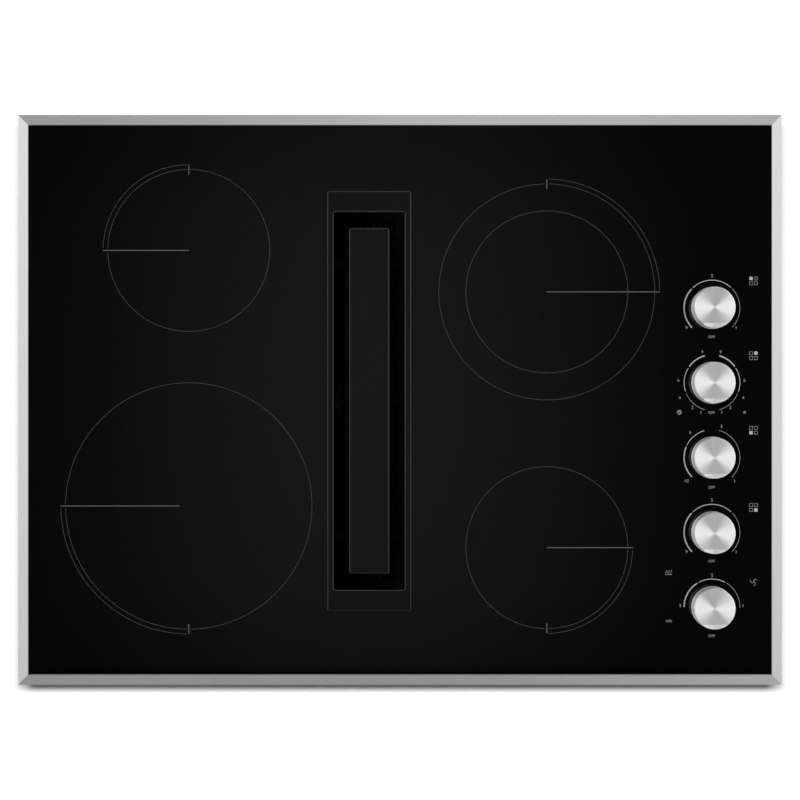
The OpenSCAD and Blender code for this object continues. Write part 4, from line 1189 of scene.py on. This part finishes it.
@dataclass
class Controls:
    """Knobs, their dials and the small signs beside them, which are placed from a knob's axis.

    Attributes:
        sweep_widths: widths of a sweep's bold, middling and fine stretches.
        facet_from_axis: where the pointer facet's upper edge lies.
        pointer_reach: where the line engraved on the facet starts and ends.
        pointer_heights: the foot and top of the line's strip, from the facet.
    """

    names: tuple[str, ...] = (*STATIONS, "fan")
    dial_radius: float = 28.6
    sweep_widths: Point = (1.22, 0.72, 0.31)
    figure_height: float = 3.3
    word_height: float = 2.8
    facet_from_axis: float = 16.2
    facet_slope_deg: float = 22.0
    pointer_reach: Point = (0.8, 3.6)
    pointer_width: float = 0.18
    pointer_heights: Point = (-0.15, 0.02)
    square_at: Point = (42.5, 27.8)
    last_square_rise: float = 25.3
    square_pitch: float = 5.0
    square_side: float = 3.4
    square_line: float = 0.24
    ring_sign_at: Point = (33.5, -30.3)
    fan_sign_at: Point = (42.8, 25.6)
    hot_sign_at: Point = (-44.4, 35.9)

    def sweep(self, *spans: Point) -> tuple[tuple[Point, float], ...]:
        """Pairs the stretches of a sweep with their widths, from bold to fine."""
        return tuple(zip(spans, self.sweep_widths))

    def dials(self) -> dict[str, tuple[tuple[Point, float], ...]]:
        """Lists the printed stretches.

        Returns:
            For each knob, where its stretches start and end in degrees, and their widths.
        """
        simple = self.sweep((224.3, 137.0), (133.5, 47.0), (43.5, -43.4))
        right = self.sweep((75.0, 35.5), (31.5, -18.5), (-22.5, -75.0))
        left = tuple(((180.0 - start, 180.0 - end), width) for (start, end), width in right)
        return {"rear_left": simple,
                "rear_right": right + left,
                "front_left": self.sweep((224.0, 157.5), (153.5, 106.0), (75.0, -45.0)),
                "front_right": simple,
                "fan": self.sweep((180.0, 121.5), (118.0, 62.0), (58.5, -2.0))}

    def labels(self) -> dict[str, tuple[tuple[str, float, float], ...]]:
        """Lists the plain numbers and words, and where their middles lie.

        Returns:
            Each knob's labels.
        """
        off, low_off = ("OFF", -0.3, -29.6), ("OFF", -0.3, -30.6)
        simple = (("5", 0.0, 32.9), ("9", -26.1, -20.0), ("1", 24.7, -20.0), off)
        double = tuple((text, side * x - 0.6, y) for side in (-1, 1) for text, x, y in (
            ("9", 9.4, 31.6), ("6", 34.0, 2.6), ("4", 32.6, -15.3), ("2", 19.5, -25.3),
            ("1", 10.7, -30.3)))
        return {"rear_left": simple,
                "rear_right": (*double, low_off),
                "front_left": (("6", -22.3, 25.8), ("3", 9.7, 31.8), ("10", -25.8, -24.0),
                               ("1", 23.2, -24.0), low_off),
                "front_right": simple,
                "fan": (("2", 0.0, 32.5), ("3", -32.8, 1.3), ("1", 31.8, 1.3),
                        ("ON", -44.4, -14.4), off)}

    def beside(self, name: str, x: float = 0.0, y: float = 0.0) -> Point:
        """A place beside the axis of a knob."""
        low, high = node_box(f"knob_{name}")
        return ((low.x + high.x) / 2 + x, (low.y + high.y) / 2 + y)

    def build(self) -> None:
        """Dresses the knobs and prints the dials."""
        arcs = Drawing("dial_arcs")
        figures = Drawing("dial_figures")
        signs = Drawing("dial_signs")
        dials, labels = self.dials(), self.labels()
        for name in self.names:
            for span, width in dials[name]:
                arcs.arc(self.beside(name), self.dial_radius, (width, width), span)
            for text, x, y in labels[name]:
                height = self.word_height if text.isalpha() else self.figure_height
                figures.letters(text, self.beside(name, x, y), height)
            self._pointer(name)
        for name in STATIONS:
            self._squares(signs, name)
        self._signs(signs)
        for drawing in (arcs, figures, signs):
            drawing.piece(INK)
        dress(KNOB, *(f"knob_{name}" for name in self.names))
        dress(STEEL, *(f"shaft_{name}" for name in self.names))
        dress(NYLON, *(f"cam_{name}" for name in STATIONS))
        dress(PHENOLIC, "element_switches", "fan_switch")
        dress(LENS, "indicator_lamps")
        dress(SHEET, "control_bracket")

    def _pointer(self, name: str) -> None:
        """Engraves a fine line down the pointer facet of a knob.

        Args:
            name: the knob.
        """
        top = node_box(f"knob_{name}")[1].z
        x, y = self.beside(name, y=-self.facet_from_axis)
        slope = Matrix.Rotation(math.radians(self.facet_slope_deg), 4, "X")
        mark = Drawing(f"pointer_{name}", *self.pointer_heights,
                       Matrix.Translation((x, y, top)) @ slope)
        start, end = self.pointer_reach
        mark.bar((0.0, -start), (0.0, -end), self.pointer_width)
        mark.piece(ENGRAVED, Body(f"{name}_knob"), Slot.KNOB)

    def _squares(self, drawing: Drawing, name: str) -> None:
        """Draws four small squares beside a knob, and fills the one of its element.

        Args:
            drawing: the drawing to add to.
            name: the knob.
        """
        rise = self.last_square_rise if name == "front_right" else self.square_at[1]
        line, half = self.square_line, self.square_side / 2
        inset = half - line / 2
        for column in (0, 1):
            for row in (0, 1):
                x, y = self.beside(name, self.square_at[0] + (column - 0.5) * self.square_pitch,
                                   rise + (row - 0.5) * self.square_pitch)
                if (column, row) == STATIONS[name]:
                    drawing.bar((x - half, y), (x + half, y), self.square_side)
                    continue
                for s in (-inset, inset):
                    drawing.bar((x - half, y + s), (x + half, y + s), line)
                    drawing.bar((x + s, y - half + line), (x + s, y + half - line), line)

    def _signs(self, drawing: Drawing) -> None:
        """Draws ring signs at the two-ring knob, and two signs at the fan knob.

        Args:
            drawing: the drawing to add to.
        """
        x, y = self.ring_sign_at
        for side, radius in ((-1, 1.0), (-1, 2.1), (1, 1.0)):
            drawing.arc(self.beside("rear_right", side * x, y), radius, widths=(0.4, 0.4))
        middle = Vector(self.beside("fan", *self.fan_sign_at))
        blade_radius = 2.0
        for turn in (20.0, 140.0, 260.0):
            drawing.arc(middle + unit(turn) * blade_radius, blade_radius,
                        widths=(0.34, 0.24), span=(turn + 180.0, turn + 20.0))
        x, y = self.beside("fan", *self.hot_sign_at)
        reach, drop, wave_pitch, wave_radius, wave_line = 3.4, 2.6, 2.4, 0.7, 0.25
        drawing.bar((x - reach, y - drop), (x + reach, y - drop), width=0.3)
        for at in (x - wave_pitch, x, x + wave_pitch):
            for rise, span in ((-0.6, (270.0, 90.0)), (0.8, (-90.0, 90.0))):
                drawing.arc((at, y + rise), wave_radius, (wave_line, wave_line), span)


@dataclass
class Vent:
    """Grille, filter and the liner below them."""

    def build(self) -> None:
        """Dresses the vent."""
        # The grille's lower walls take a dull black painted shade.
        dress(ENAMEL_WITH_PAINTED_SHADE, "grille_frame", "grille_panel")
        # The filter's near-black colour is painted shade.
        dress(FILTER_PAINTED_SHADE, "filter_frame", "filter_mesh")
        # The liner's dull black is painted shade.
        dress(VENT_LINER_PAINTED_SHADE, "vent_liner")


@dataclass
class BurnerBox:
    """The steel box, the elements in it and what carries them."""

    def build(self) -> None:
        """Dresses the box and the elements."""
        dress(SHEET, "burner_box", "element_dishes", "element_rails", "junction_box",
              "junction_cover")
        dress(SPRING, "element_springs")
        dress(FIBRE, "insulation_cakes")
        dress(RIBBON, *(f"coil_{name}" for name in STATIONS))
        dress(QUARTZ, "limiters")
        dress(CERAMIC, "terminal_block")
        dress(STEEL, "box_screws", "body_screws", "clamp_brackets", "clamp_screw_left",
              "clamp_screw_right")


@dataclass
class Ventilation:
    """Plenum, blower, duct and overflow jar."""

    def build(self) -> None:
        """Dresses the air path."""
        # The plenum's inside takes a dull black painted shade.
        dress(PLENUM_PAINTED_SHADE, "plenum")
        dress(SHEET, "blower_inlet", "blower_housing", "duct_transition", "damper_collar")
        dress(WHEEL, "blower_wheel")
        dress(STEEL, "motor_shaft", "damper_flap", "damper_rod")
        dress(MOTOR, "blower_motor")
        dress(CAPACITOR, "motor_capacitor")
        dress(SILICONE, "jar_gasket")
        dress(JAR, "overflow_jar")


def main() -> None:
    """Builds the looks in order."""
    logging.basicConfig(level=logging.INFO, format="%(message)s")
    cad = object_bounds()
    Studio().build(cad[0].z)
    for part in (GlassTop(), Controls(), Vent(), BurnerBox(), Ventilation()):
        part.build()
        log.info("%s is dressed", type(part).__name__)


if __name__ == "__main__":
    main()
